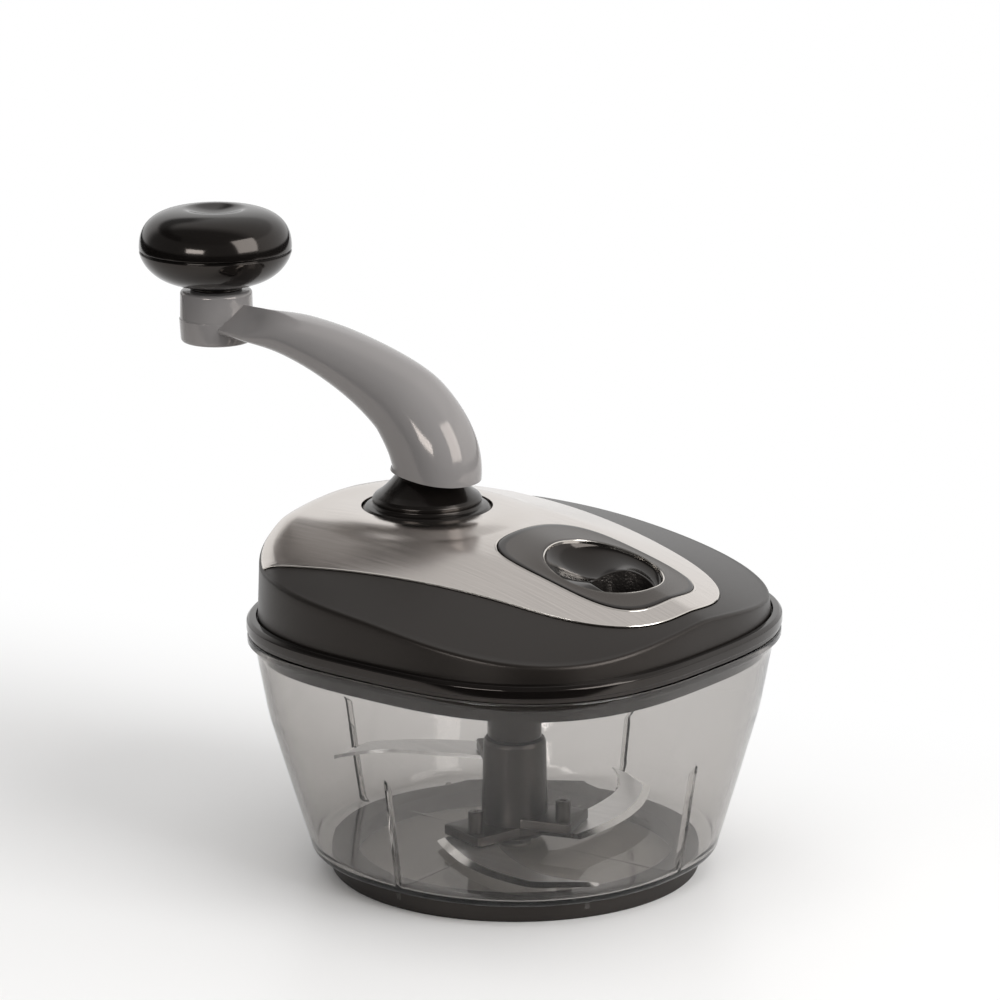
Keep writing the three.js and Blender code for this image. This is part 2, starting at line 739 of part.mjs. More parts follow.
// Outline of a spur gear with one tooth centred on +X.
function gearOutline(teeth) {
  const pitch = (gearModule * teeth) / 2;
  const base = pitch * Math.cos(pressureAngle);
  const tip = pitch + gearModule * 0.9;
  const root = pitch - gearModule * 1.2;
  const roll = (radius) => Math.sqrt(Math.max((radius / base) ** 2 - 1, 0));
  const lean = (radius) => roll(radius) - Math.atan(roll(radius));
  const halfTooth = Math.PI / (2 * teeth) - gearBacklash / (4 * pitch) + lean(pitch);
  const flankStart = Math.max(base, root);
  const flank = [0.1, 1].map((share) => flankStart + (tip - flankStart) * share);
  const at = (radius, angle) => new THREE.Vector2(radius * Math.cos(angle), radius * Math.sin(angle));
  const points = around(teeth, (turn) => [
    ...flank.map((radius) => at(radius, turn - halfTooth + lean(radius))),
    ...flank.toReversed().map((radius) => at(radius, turn + halfTooth - lean(radius))),
    at(root, turn + (Math.PI / teeth) * 0.75),
    at(root, turn + (Math.PI / teeth) * 1.25),
  ]).flat();
  return new THREE.Shape(points);
}

function hexagon(radius, low, high) {
  return rod(radius, low, high, 6);
}

function pinion() {
  const low = gearLow - pinionExtra;
  const high = gearHigh + pinionExtra;
  const teeth = slab(gearOutline(pinionTeeth), low, high);
  const stub = rod(pinionStubRadius, high - overrun, high + pinionStubLength, boreSides);
  const shaft = rod(pinionShaftRadius, sleeveLow + seatGap, low + overrun, boreSides);
  const drive = hexagon(hexRadius, hexLow, sleeveLow + overrun);
  return join(teeth, stub, shaft, drive);
}

function driveGear() {
  const rim = slab(gearOutline(driveTeeth), gearLow, gearHigh);
  const pitch = (gearModule * driveTeeth) / 2;
  const dish = tube(pitch - 3 * gearModule, washerRadius + gearModule, gearLow + gearWidth / 2, gearHigh + overrun);
  const hubTop = bushLow - seatGap;
  const hub = rod(washerRadius, gearHigh - overrun, hubTop, boreSides);
  const bore = rod(crankShaftRadius + runningGap, gearLow - overrun, hubTop + overrun, boreSides);
  return cut(join(cut(rim, dish), hub), bore);
}

// Crank

function crankShaft() {
  const low = gearLow;
  const high = armSocketTop + shaftGrip;
  const hole = gearScrewRadius + runningGap;
  const profile = [
    [hole, low],
    [crankShaftRadius, low],
    [crankShaftRadius, high],
    [0, high],
    [0, low + gearScrewLength + seatGap],
    [hole, low + gearScrewLength + seatGap],
    [hole, low],
  ];
  return turned(profile, boreSides);
}

function gearWasher() {
  const high = gearLow - seatGap;
  return tube(washerRadius, gearScrewRadius + seatGap, high - washerThickness, high, boreSides);
}

function gearScrew() {
  const headTop = gearLow - washerThickness - 2 * seatGap;
  return turned(
    [
      [0, headTop - gearScrewHead],
      [gearScrewHead * 1.2, headTop - gearScrewHead],
      [gearScrewHead * 1.6, headTop - gearScrewHead / 2],
      [gearScrewHead * 1.6, headTop],
      [gearScrewRadius, headTop],
      [gearScrewRadius, headTop + gearScrewLength],
      [0, headTop + gearScrewLength],
    ],
    smallSides,
  );
}

const collarLow = landTop - collarSunk;
const collarTop = crownTop + collarRise;
const armSocketTop = collarTop + seatGap;
const shoulder = collarLow + collarLip + collarShoulderRise;
const bellShares = [0.12, 0.3, 0.5, 0.72, 1];

// Outline of the bell at a share of the way from its shoulder to its top.
function bellPoint(share, grow) {
  const flare = (collarShoulder - collarLip / 2 - collarNeck) * (1 - share) ** collarSweep;
  return [collarNeck + flare + grow, THREE.MathUtils.lerp(shoulder, collarTop, share)];
}

// A lip in the plate's hole, a shoulder bead and a bell that runs up under the hood.
function crankCollar() {
  const bore = crankShaftRadius + seatGap;
  return turned([
    [bore, collarLow],
    [collarRadius - seatGap, collarLow],
    [collarRadius, collarLow + collarLip / 2],
    [collarRadius - seatGap, collarLow + collarLip],
    [collarShoulder + collarLip / 2, collarLow + collarLip * 1.3],
    [collarShoulder - seatGap, collarLow + collarLip * 1.9],
    ...rounding(collarShoulder - collarLip / 2, shoulder - collarLip / 3, collarLip / 2, beadStart, beadEnd, 2),
    ...bellShares.map((share) => bellPoint(share, 0)),
    [bore, collarTop],
    [bore, collarLow],
  ]);
}

// The arm from hood to boss: how far along its reach and its rise, then depth and width as shares of the hood's.
const armShares = [
  { reach: -0.025, rise: -0.23, depth: 1, width: 1 },
  { reach: -0.05, rise: 0.027, depth: 0.917, width: 1 },
  { reach: -0.025, rise: 0.228, depth: 0.89, width: 0.99 },
  { reach: 0.041, rise: 0.435, depth: 0.823, width: 0.97 },
  { reach: 0.118, rise: 0.577, depth: 0.742, width: 0.95 },
  { reach: 0.263, rise: 0.737, depth: 0.615, width: 0.91 },
  { reach: 0.451, rise: 0.878, depth: 0.494, width: 0.87 },
  { reach: 0.643, rise: 0.961, depth: 0.401, width: 0.81 },
  { reach: 0.836, rise: 0.993, depth: 0.337, width: 0.74 },
  { reach: 1, rise: 1, depth: 0.336, width: 0.6 },
];

function curveOf(make) {
  return new THREE.CatmullRomCurve3(armShares.map(make));
}

const armSpine = curveOf(({ reach, rise }) => new THREE.Vector3(-reach * crankReach, 0, armLow + rise * armRise));
const armGirth = curveOf(({ depth, width }) => new THREE.Vector3(depth * hoodHalfLength, width * hoodHalfWidth, 0));

// The section is a rounded one, fuller above than below.
function armRing(share) {
  const place = armSpine.getPoint(share);
  const heading = armSpine.getTangent(share);
  const up = new THREE.Vector3(heading.z, 0, -heading.x);
  const girth = armGirth.getPoint(share);
  return around(armSides, (turn) => {
    const squareness = Math.cos(turn) > 0 ? armSquareness.above : armSquareness.below;
    const reach = squareReach(turn, 1, squareness);
    const rise = reach * Math.cos(turn) * girth.x;
    const side = reach * Math.sin(turn) * girth.y;
    return place.clone().addScaledVector(up, rise).add(new THREE.Vector3(0, side, 0));
  });
}

function crankArm() {
  const rings = Array.from({ length: armStations + 1 }, (_, station) => armRing(station / armStations));
  const under = block(crankReach, crankReach, -crankReach, 0).rotate([0, hoodTilt, 0]);
  const beam = cut(loft(rings), under.translate([hoodShift, 0, hoodLow]));
  const parting = bossLow + bossHeight * bossParting;
  const boss = turned([
    [0, bossLow],
    ...rounding(bossRadius - bossDraft - bossRound, bossLow + bossRound, bossRound, -90, 0, 2),
    [bossRadius + bossDraft, parting],
    [bossRadius, parting + seatGap],
    ...rounding(bossRadius - bossDraft - bossRound, bossHigh - bossRound, bossRound, 0, 90, 2),
    [0, bossHigh],
  ]).translate([-crankReach, 0, 0]);
  const bell = bellShares.slice(1).map((share) => bellPoint(share, seatGap));
  const socketFoot = [bell[0][0], crownTop];
  const socketHead = [collarNeck + seatGap, armSocketTop];
  const socket = turned([[0, crownTop], socketFoot, ...bell, socketHead, [0, armSocketTop]]);
  const gripTop = armSocketTop + shaftGrip + seatGap;
  const grip = rod(crankShaftRadius + seatGap, armSocketTop - overrun, gripTop, roundSides);
  const axleEnd = bossHigh - axleGrip - seatGap;
  const axleHole = rod(axleRadius + seatGap / 2, axleEnd, bossHigh + overrun, smallSides, -crankReach);
  return cut(join(beam, boss), socket, grip, axleHole);
}

// Knob: two shells meet at a dark groove and turn on a shouldered axle.

// Turned outline of the knob at a share of the way from its seam to its crown or underside.
function knobPoint(share, height) {
  const [up, out] = height > 0 ? knobSquareness.above : knobSquareness.below;
  return [knobRadius * (1 - share ** up) ** (1 / out), seamZ + height * share];
}

const axleRoom = axleHeadRadius + 2 * seatGap;
const axleSeat = seamZ - knobDrop * 0.7;

function knobBase() {
  const low = bossHigh + seatGap;
  const bore = axleRadius + runningGap;
  const high = seamZ - knobGroove / 2;
  const underShares = [0.86, 0.68, 0.45, 0.22];
  return turned(
    [
      [bore, low],
      [knobNeckRadius, low],
      [knobNeckRadius, seamZ - knobDrop * 0.96],
      ...underShares.map((share) => knobPoint(share, -knobDrop)),
      [knobRadius, high],
      [knobRadius - 2 * knobWall, high],
      [axleRoom + knobWall, axleSeat],
      [axleRoom, axleSeat],
      [axleRoom, axleSeat - knobWall],
      [bore, axleSeat - knobWall],
      [bore, low],
    ],
    knobSides,
  );
}

function knobCap() {
  const low = seamZ - knobGroove / 2 + seatGap;
  const lip = knobRadius - knobGrooveDepth;
  const inner = knobRadius - 2 * knobWall;
  const crown = seamZ + knobRise;
  const overShares = [0.3, 0.52, 0.7, 0.85, 0.94];
  return turned(
    [
      [0, crown - knobDish - knobWall],
      [inner * 0.7, crown - knobDish - knobWall],
      [inner, seamZ + knobRise * 0.2],
      [inner, low],
      [lip, low],
      [lip, seamZ + knobGroove / 2],
      [knobRadius, seamZ + knobGroove / 2],
      ...overShares.map((share) => knobPoint(share, knobRise)),
      [dishRadius, crown - knobDish * 0.2],
      [dishRadius * 0.75, crown - knobDish * 0.35],
      [dishRadius * 0.4, crown - knobDish * 0.85],
      [0, crown - knobDish],
    ],
    knobSides,
  );
}

function knobAxle() {
  const seat = axleSeat - knobWall + seatGap;
  return turned(
    [
      [0, bossHigh - axleGrip],
      [axleRadius, bossHigh - axleGrip],
      [axleRadius, seat],
      [axleHeadRadius, seat],
      [axleHeadRadius, seat + axleHeadHeight / 2],
      [axleHeadRadius * 0.7, seat + axleHeadHeight],
      [0, seat + axleHeadHeight],
    ],
    smallSides,
  );
}

// Cutter

// Height of each blade's platform over the column's foot, its turn and where its post stands across it.
const bladeLevels = [
  { name: "lower", levelShare: 0.139, postShare: 0.38 },
  { name: "middle", levelShare: 0.233, postShare: -0.66 },
  { name: "upper", levelShare: 0.779, postShare: 0.38 },
];

function platformTop(level) {
  return cutterLow + columnHeight * level.levelShare;
}

const bladeTurn = (item) => firstBladeAngle + (item * fullTurn) / bladeCount;
const postPlace = platformReach - postRadius * 1.35;

function bladeColumn() {
  const body = turned([
    [0, cutterLow],
    [columnFoot * 0.9, cutterLow],
    [columnFoot, cutterLow + columnHeight * 0.05],
    [columnTop, columnHigh - columnHeight * 0.05],
    [columnTop * 0.93, columnHigh],
    [0, columnHigh],
  ]);
  const platforms = bladeLevels.map((level, item) => {
    const top = platformTop(level);
    const low = top - platformThickness;
    return block(platformReach, platformHalf * 2, low, top, platformReach / 2, 0, bladeTurn(item));
  });
  const shankHoles = bladeLevels.map((level, item) => {
    const y = platformHalf * level.postShare;
    const low = platformTop(level) - platformThickness - overrun;
    const hole = rod(postShank + seatGap / 2, low, platformTop(level) + overrun, smallSides, postPlace, y);
    return hole.rotate([0, 0, THREE.MathUtils.radToDeg(bladeTurn(item))]);
  });
  const pinBore = rod(pinRadius + runningGap, cutterLow - overrun, pinTip + seatGap, roundSides);
  const socket = hexagon(hexRadius + hexPlay, socketLow, columnHigh + overrun);
  return cut(join(body, ...platforms), ...shankHoles, pinBore, socket);
}

// Sickle outline with its root under the platform; shares are of the blade's reach.
const bladeOuterShares = [
  [0.43, -0.14], [0.485, 0], [0.553, 0.225], [0.574, 0.447], [0.55, 0.64], [0.5, 0.776], [0.335, 0.9], [0.225, 0.966],
];
const bladeInnerShares = [[0.3, 0.85], [0.358, 0.712], [0.365, 0.56], [0.32, 0.343], [0.262, 0.19], [0.19, 0.06]];

function bladeOutline(inset) {
  const outer = bladeOuterShares.map(([x, y]) => new THREE.Vector2(x * bladeReach - inset, y * bladeReach));
  const inner = bladeInnerShares.map(([x, y]) => new THREE.Vector2(x * bladeReach, y * bladeReach));
  const rootX = columnFoot + seatGap;
  const outline = new THREE.Shape();
  outline.moveTo(rootX, -platformHalf * 0.9);
  outline.lineTo(outer[0].x, outer[0].y);
  outline.splineThru(outer.slice(1));
  outline.splineThru(inner);
  outline.lineTo(rootX, platformHalf * 0.4);
  outline.closePath();
  return outline;
}

function blade(level, item) {
  const high = platformTop(level) - platformThickness - seatGap;
  const low = high - bladeThickness;
  const flat = slab(bladeOutline(bladeBevel), low + bladeThickness / 2, high, 2);
  const edge = slab(bladeOutline(0), low, low + bladeThickness / 2 + weld, 2);
  const y = platformHalf * level.postShare;
  const hole = rod(postShank + seatGap / 2, low - overrun, high + overrun, smallSides, postPlace, y);
  return cut(join(flat, edge), hole).rotate([0, 0, THREE.MathUtils.radToDeg(bladeTurn(item))]);
}

function bladePost(level, item) {
  const seat = platformTop(level) + seatGap;
  const end = platformTop(level) - platformThickness - seatGap - bladeThickness;
  const post = turned(
    [
      [0, end],
      [postShank, end],
      [postShank, seat],
      [postRadius, seat],
      [postRadius * 0.94, seat + postHeight],
      [postRadius * 0.5, seat + postHeight],
      [0, seat + postHeight * 0.9],
    ],
    smallSides,
  );
  const turn = bladeTurn(item);
  const y = platformHalf * level.postShare;
  const place = new THREE.Vector3(postPlace, y, 0).applyAxisAngle(new THREE.Vector3(0, 0, 1), turn);
  return post.translate([place.x, place.y, 0]);
}

// The object

function piece(name, body, material) {
  const mesh = new THREE.Mesh(shape(body), material);
  mesh.name = name;
  return mesh;
}

const chopper = new THREE.Group();

const vessel = new THREE.Group();
vessel.position.x = bowlX;
vessel.add(
  piece("bowl", bowl(), clear),
  piece("foot_ring", footRing(), rubber),
  piece("pivot_pin", pivotPin(), steel),
);

const cutter = new THREE.Group();
cutter.position.x = bowlX;
cutter.add(piece("blade_column", bladeColumn(), satinBlack));
bladeLevels.forEach((level, item) => {
  cutter.add(piece(`blade_${level.name}`, blade(level, item), steel));
  cutter.add(piece(`blade_post_${level.name}`, bladePost(level, item), satinBlack));
});

const lid = new THREE.Group();
lid.position.x = bowlX;
lid.add(
  piece("lid_base", lidBase(), glossBlack),
  piece("lid_housing", lidHousing(), satinBlack),
  piece("cover_plate", coverPlate(), brushed),
  piece("filler_trim", fillerTrim(), satinBlack),
  piece("filler_cup", fillerCup(), glossBlack),
  piece("sleeve_bush", sleeveBush(), brass),
  piece("pinion", pinion(), acetal),
);
const crankBushMesh = piece("crank_bush", crankBush(), brass);
crankBushMesh.position.x = -bowlX;
lid.add(crankBushMesh);
screwPlaces.forEach(([x, y], item) => {
  const screw = piece(`lid_screw_${item + 1}`, lidScrew(), steel);
  screw.position.set(x, y, 0);
  lid.add(screw);
});

const crank = new THREE.Group();
crank.add(
  piece("crank_arm", crankArm(), armGrey),
  piece("crank_collar", crankCollar(), glossBlack),
  piece("crank_shaft", crankShaft(), steel),
  piece("drive_gear", driveGear(), acetal),
  piece("gear_washer", gearWasher(), steel),
  piece("gear_screw", gearScrew(), steel),
);

const knob = new THREE.Group();
knob.position.x = -crankReach;
knob.add(
  piece("knob_axle", knobAxle(), steel),
  piece("knob_base", knobBase(), glossBlack),
  piece("knob_cap", knobCap(), glossBlack),
);
crank.add(knob);

chopper.add(vessel, cutter, lid, crank);

export default chopper;
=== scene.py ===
"""Looks of a hand-cranked food chopper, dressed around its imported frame.

Sizes are in millimetres unless a comment says otherwise, and every mesh is made in metres, in the frame of the
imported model: the crank turns about x = 0, the bowl and its cutter about x = BOWL_X, and z = 0 is the worktop.
"""

import logging
import math
from dataclasses import dataclass, field
from enum import Enum
from typing import Callable, Iterable, Sequence, TypeVar

import bmesh
import bpy
from mathutils import Matrix, Vector


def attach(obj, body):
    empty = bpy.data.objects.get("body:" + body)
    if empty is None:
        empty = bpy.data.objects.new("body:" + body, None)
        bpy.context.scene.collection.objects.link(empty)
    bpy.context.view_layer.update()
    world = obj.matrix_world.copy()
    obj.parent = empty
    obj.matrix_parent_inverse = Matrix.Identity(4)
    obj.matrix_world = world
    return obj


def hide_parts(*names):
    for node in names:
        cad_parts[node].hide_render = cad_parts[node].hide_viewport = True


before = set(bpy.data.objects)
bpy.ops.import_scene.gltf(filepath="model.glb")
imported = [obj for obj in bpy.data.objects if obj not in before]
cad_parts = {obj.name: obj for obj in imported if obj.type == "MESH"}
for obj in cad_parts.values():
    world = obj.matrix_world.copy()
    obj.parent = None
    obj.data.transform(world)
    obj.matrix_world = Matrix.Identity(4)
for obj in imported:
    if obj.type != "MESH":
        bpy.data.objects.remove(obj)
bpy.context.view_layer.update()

log = logging.getLogger("chopper")

MM = 0.001
TURN = 2 * math.pi
BOWL_X = 37.5
ON_AXIS = 1e-6

Place = tuple[float, float]
Edge = Sequence[Place]
Ring = list[Vector]
Corner = tuple[float, float, float]
Value = TypeVar("Value", float, Vector)


class Body(Enum):
    """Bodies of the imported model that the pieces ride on."""

    BOWL = "bowl"
    LID = "lid"
    PINION = "pinion"
    BLADES = "blades"
    CRANK = "crank"
    KNOB = "knob"


# Mesh building


@dataclass
class Skin:
    """Vertices in millimetres with faces and the material index of each face."""

    points: list[Vector] = field(default_factory=list)
    faces: list[tuple[int, ...]] = field(default_factory=list)
    marks: list[int] = field(default_factory=list)

    def add_face(self, face: tuple[int, ...], mark: int = 0) -> None:
        """Adds one face with its material index."""
        self.faces.append(face)
        self.marks.append(mark)

    def join(self, other: "Skin") -> "Skin":
        """Adds another skin's points and faces to this one.

        Args:
            other: The skin to take in.

        Returns:
            This skin.
        """
        start = len(self.points)
        self.points.extend(other.points)
        for face, mark in zip(other.faces, other.marks):
            self.add_face(tuple(corner + start for corner in face), mark)
        return self

    def moved(self, matrix: Matrix) -> "Skin":
        """Returns a copy with every point carried by a matrix."""
        return Skin([matrix @ point for point in self.points], list(self.faces), list(self.marks))


# Curves


def smoothstep(value: float, low: float, high: float) -> float:
    """Eases from 0 at low to 1 at high."""
    share = min(max((value - low) / (high - low), 0), 1)
    return share * share * (3 - 2 * share)


def lerp(start: float, end: float, share: float) -> float:
    """Returns the value at a share of the way from start to end."""
    return start + (end - start) * share


def on_way(start: Place, end: Place, share: float) -> Place:
    """Returns the place at a share of the way from start to end."""
    return (lerp(start[0], end[0], share), lerp(start[1], end[1], share))


def polar(reach: float, turn: float, x: float = 0.0) -> Place:
    """Returns the place at a distance and an angle from a place on the long axis."""
    return (x + reach * math.cos(turn), reach * math.sin(turn))


def spline(before: Value, start: Value, end: Value, after: Value, share: float) -> Value:
    """Returns a value between start and end, on a smooth curve that also heeds its neighbours beyond them."""
    return 0.5 * (2 * start + (end - before) * share
                  + (2 * before - 5 * start + 4 * end - after) * share**2
                  + (3 * start - before - 3 * end + after) * share**3)


def square_reach(turn: float, half: float, squareness: float) -> float:
    """Returns the distance from the middle to the edge of a rounded square."""
    spread = abs(math.cos(turn)) ** squareness + abs(math.sin(turn)) ** squareness
    return half / spread ** (1 / squareness)


def even_turns(sides: int) -> list[float]:
    """Returns evenly spread angles."""
    return [TURN * side / sides for side in range(sides)]


def circle(radius: float, x: float, sides: int) -> list[Place]:
    """Returns places round a place on the long axis."""
    return [polar(radius, turn, x) for turn in even_turns(sides)]


def flat_ring(edge: Edge, height: float) -> Ring:
    """Returns a level ring over places measured from the bowl's axis."""
    return [Vector((x + BOWL_X, y, height)) for x, y in edge]


def quarter(first: int, steps: int) -> list[float]:
    """Returns angles in even steps up to a right angle, from a given step on."""
    return [math.pi / 2 * step / steps for step in range(first, steps + 1)]


def softened(corners: Sequence[Corner], steps: int = 5) -> list[tuple[float, float]]:
    """Rounds the corners of an open outline.

    Args:
        corners: Points as (radius, height, fillet radius).
        steps: Segments in each fillet.

    Returns:
        The outline's points.
    """
    outline: list[tuple[float, float]] = []
    for index, (across, up, fillet) in enumerate(corners):
        here = Vector((across, up))
        if fillet <= 0 or index in (0, len(corners) - 1):
            outline.append((across, up))
            continue
        before = Vector(corners[index - 1][:2]) - here
        after = Vector(corners[index + 1][:2]) - here
        half = before.angle(after) / 2
        reach = min(fillet / math.tan(half), 0.49 * before.length, 0.49 * after.length)
        start = here + before.normalized() * reach
        end = here + after.normalized() * reach
        for step in range(steps + 1):
            share = step / steps
            point = start.lerp(here, share).lerp(here.lerp(end, share), share)
            outline.append((point.x, point.y))
    return outline


def plan_ring(half: float, squareness: float, height: float, turns: Sequence[float],
              inset: Callable[[float], float] | None = None) -> Ring:
    """Returns a rounded square round the bowl's axis.

    Args:
        half: Half its width.
        squareness: Exponent of its curve; 2 is a circle.
        height: Its height.
        turns: Angles of its points.
        inset: How far each point is drawn in, by angle.

    Returns:
        The ring.
    """
    ring = []
    for turn in turns:
        reach = square_reach(turn, half, squareness) - (inset(turn) if inset else 0)
        ring.append(Vector((*polar(reach, turn, BOWL_X), height)))
    return ring


# Skins and pieces


def loft(rings: Sequence[Ring], marks: Sequence[int] | None = None, capped: bool = True) -> Skin:
    """Skins rings of equal length one after another.

    Args:
        rings: The rings, each with the same number of points.
        marks: Material index of each band between two rings.
        capped: Whether each end is closed by a fan on its middle.

    Returns:
        The skin.
    """
    sides = len(rings[0])
    skin = Skin([point for ring in rings for point in ring])
    for band in range(len(rings) - 1):
        low, high = band * sides, (band + 1) * sides
        mark = marks[band] if marks else 0
        for side in range(sides):
            after = (side + 1) % sides
            skin.add_face((low + side, low + after, high + after, high + side), mark)
    if capped:
        for ring, start, flip in ((rings[0], 0, True), (rings[-1], (len(rings) - 1) * sides, False)):
            middle = len(skin.points)
            skin.points.append(sum(ring, Vector()) / sides)
            for side in range(sides):
                after = (side + 1) % sides
                fan = (middle, start + after, start + side) if flip else (middle, start + side, start + after)
                skin.add_face(fan, marks[0 if flip else -1] if marks else 0)
    return skin


def revolve(outline: Sequence[tuple[float, float]], sides: int = 96, centre: tuple[float, float] = (0, 0)) -> Skin:
    """Turns an outline of (radius, height) about a vertical axis.

    Args:
        outline: The outline, which starts and ends on the axis or closes on itself.
        sides: Number of sides round the axis.
        centre: The axis in plan.

    Returns:
        The skin.
    """
    skin = Skin()
    rows: list[list[int]] = []
    for across, up in outline:
        count = 1 if across < ON_AXIS else sides
        start = len(skin.points)
        for side in range(count):
            turn = TURN * side / sides
            spot = Vector((centre[0] + across * math.cos(turn), centre[1] + across * math.sin(turn), up))
            skin.points.append(spot)
        rows.append([start + side % count for side in range(sides)])
    for low, high in zip(rows, rows[1:]):
        for side in range(sides):
            after = (side + 1) % sides
            face = [low[side], low[after], high[after], high[side]]
            kept = tuple(corner for spot, corner in enumerate(face) if corner not in face[:spot])
            if len(kept) > 2:
                skin.add_face(kept)
    return skin


def turned(corners: Sequence[Corner], sides: int, x: float = 0.0, y: float = 0.0, steps: int = 5) -> Skin:
    """Turns an outline with rounded corners about the upright axis at a place."""
    return revolve(softened(corners, steps), sides, (x, y))


def rod(radius: float, low: float, high: float, sides: int, x: float = 0.0) -> Skin:
    """Returns an upright cylinder, which cuts a round hole."""
    return revolve([(0, low), (radius, low), (radius, high), (0, high)], sides, (x, 0))


def block(near: float, far: float, half: float, low: float, high: float) -> Skin:
    """Returns a box that reaches from near to far along x."""
    plan = ((near, -half), (far, -half), (far, half), (near, half))
    return loft([[Vector((x, y, z)) for x, y in plan] for z in (low, high)])


def add_object(name: str, data: bpy.types.ID) -> bpy.types.Object:
    """Puts a new object with its data into the scene."""
    made = bpy.data.objects.new(name, data)
    bpy.context.scene.collection.objects.link(made)
    return made


def new_mesh(name: str, skin: Skin, crease: float) -> bpy.types.Mesh:
    """Makes a mesh with all faces turned outwards.

    Args:
        name: Name of the mesh.
        skin: Its shape, in millimetres.
        crease: Angle in degrees from which an edge is drawn sharp.

    Returns:
        The mesh, in metres.
    """
    mesh = bpy.data.meshes.new(name)
    mesh.from_pydata([tuple(point * MM) for point in skin.points], [], skin.faces)
    mesh.polygons.foreach_set("material_index", skin.marks)
    mesh.validate()
    work = bmesh.new()
    work.from_mesh(mesh)
    bmesh.ops.remove_doubles(work, verts=work.verts, dist=1e-7)
    bmesh.ops.recalc_face_normals(work, faces=work.faces)
    work.to_mesh(mesh)
    work.free()
    return smoothed(mesh, crease)


def smoothed(mesh: bpy.types.Mesh, crease: float) -> bpy.types.Mesh:
    """Smooths a mesh's shading below the crease angle."""
    mesh.shade_smooth()
    mesh.set_sharp_from_angle(angle=math.radians(crease))
    return mesh


def piece(name: str, skin: Skin, body: Body, finishes: Sequence[bpy.types.Material],
          nodes: Iterable[str] = (), crease: float = 35) -> bpy.types.Object:
    """Makes one piece of the object and puts it on its body.

    Args:
        name: Name of the piece.
        skin: Its shape, in millimetres.
        body: The body that it rides on.
        finishes: Its materials, in the order of the skin's indices.
        nodes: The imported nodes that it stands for.
        crease: Angle in degrees from which an edge is drawn sharp.

    Returns:
        The new object.
    """
    mesh = new_mesh(name, skin, crease)
    for finish in finishes:
        mesh.materials.append(finish)
    made = add_object(name, mesh)
    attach(made, body.value)
    if nodes:
        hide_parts(*nodes)
    log.info("%s: %d faces on %s", name, len(mesh.polygons), body.value)
    return made


def carve(made: bpy.types.Object, cutters: Sequence[Skin], crease: float = 35) -> None:
    """Cuts closed shapes out of a piece and keeps the result as its mesh.

    Args:
        made: The piece to cut.
        cutters: Closed skins, in millimetres.
        crease: Angle in degrees from which an edge is drawn sharp.
    """
    for skin in cutters:
        tool = add_object("cutter", new_mesh("cutter", skin, crease))
        change = made.modifiers.new("cut", "BOOLEAN")
        change.operation = "DIFFERENCE"
        change.solver = "EXACT"
        change.object = tool
        bpy.context.view_layer.update()
        shown = made.evaluated_get(bpy.context.evaluated_depsgraph_get())
        result = bpy.data.meshes.new_from_object(shown)
        made.modifiers.clear()
        made.data = result
        bpy.data.objects.remove(tool)
    smoothed(made.data, crease)


# Finishes


def colour(code: str, alpha: float = 1) -> tuple[float, float, float, float]:
    """Turns an sRGB hex code into a linear colour.

    Args:
        code: Six hex digits after a hash mark.
        alpha: Opacity.

    Returns:
        Linear red, green, blue and alpha.
    """
    parts = [int(code[start : start + 2], 16) / 255 for start in (1, 3, 5)]
    linear = [part / 12.92 if part <= 0.04045 else ((part + 0.055) / 1.055) ** 2.4 for part in parts]
    return (linear[0], linear[1], linear[2], alpha)


def add_node(tree: bpy.types.NodeTree, kind: str, sockets: dict | None = None, **settings) -> bpy.types.Node:
    """Adds a node with its settings, values and links.

    Args:
        tree: The node tree.
        kind: The node's type.
        sockets: Input name or index to a value, or to an output socket that feeds it.
        settings: Attributes of the node.

    Returns:
        The node.
    """
    node = tree.nodes.new(kind)
    for key, value in settings.items():
        setattr(node, key, value)
    for key, value in (sockets or {}).items():
        if isinstance(value, bpy.types.NodeSocket):
            tree.links.new(value, node.inputs[key])
        else:
            node.inputs[key].default_value = value
    return node


def new_material(name: str, shader: dict) -> tuple[bpy.types.Material, bpy.types.NodeTree, bpy.types.Node]:
    """Makes a material with one Principled shader.

    Args:
        name: Name of the material.
        shader: Constant values of the shader's sockets.

    Returns:
        The material, its tree and its shader.
    """
    material = bpy.data.materials.new(name)
    material.use_nodes = True
    tree = material.node_tree
    tree.nodes.clear()
    surface = add_node(tree, "ShaderNodeBsdfPrincipled", shader)
    add_node(tree, "ShaderNodeOutputMaterial", {"Surface": surface.outputs["BSDF"]})
    return material, tree, surface


def noise(tree: bpy.types.NodeTree, size_mm: float, detail: float, roughness: float = 0.5) -> bpy.types.NodeSocket:
    """Returns a noise in the object's own space.

    Args:
        tree: The node tree.
        size_mm: Real size of its features.
        detail: How many finer layers it has.
        roughness: How strong those are.

    Returns:
        The noise's value.
    """
    place = add_node(tree, "ShaderNodeTexCoord")
    return add_node(tree, "ShaderNodeTexNoise", {
        "Vector": place.outputs["Object"], "Scale": 1 / (size_mm * MM), "Detail": detail,
        "Roughness": roughness}).outputs["Fac"]


def tint(surface: bpy.types.Node, base: str, shade: bpy.types.NodeSocket) -> None:
    """Gives a shader its colour, times a shade."""
    tree = surface.id_data
    scaled = add_node(tree, "ShaderNodeVectorMath", {0: colour(base)[:3], "Scale": shade}, operation="SCALE")
    tree.links.new(scaled.outputs["Vector"], surface.inputs["Base Color"])


def vary_gloss(surface: bpy.types.Node, source: bpy.types.NodeSocket, middle: float, play: float) -> None:
    """Lets a shader's roughness swing about its middle with a noise."""
    tree = surface.id_data
    gloss = add_node(tree, "ShaderNodeMapRange", {
        "Value": source, "To Min": middle - play, "To Max": middle + play})
    tree.links.new(gloss.outputs["Result"], surface.inputs["Roughness"])


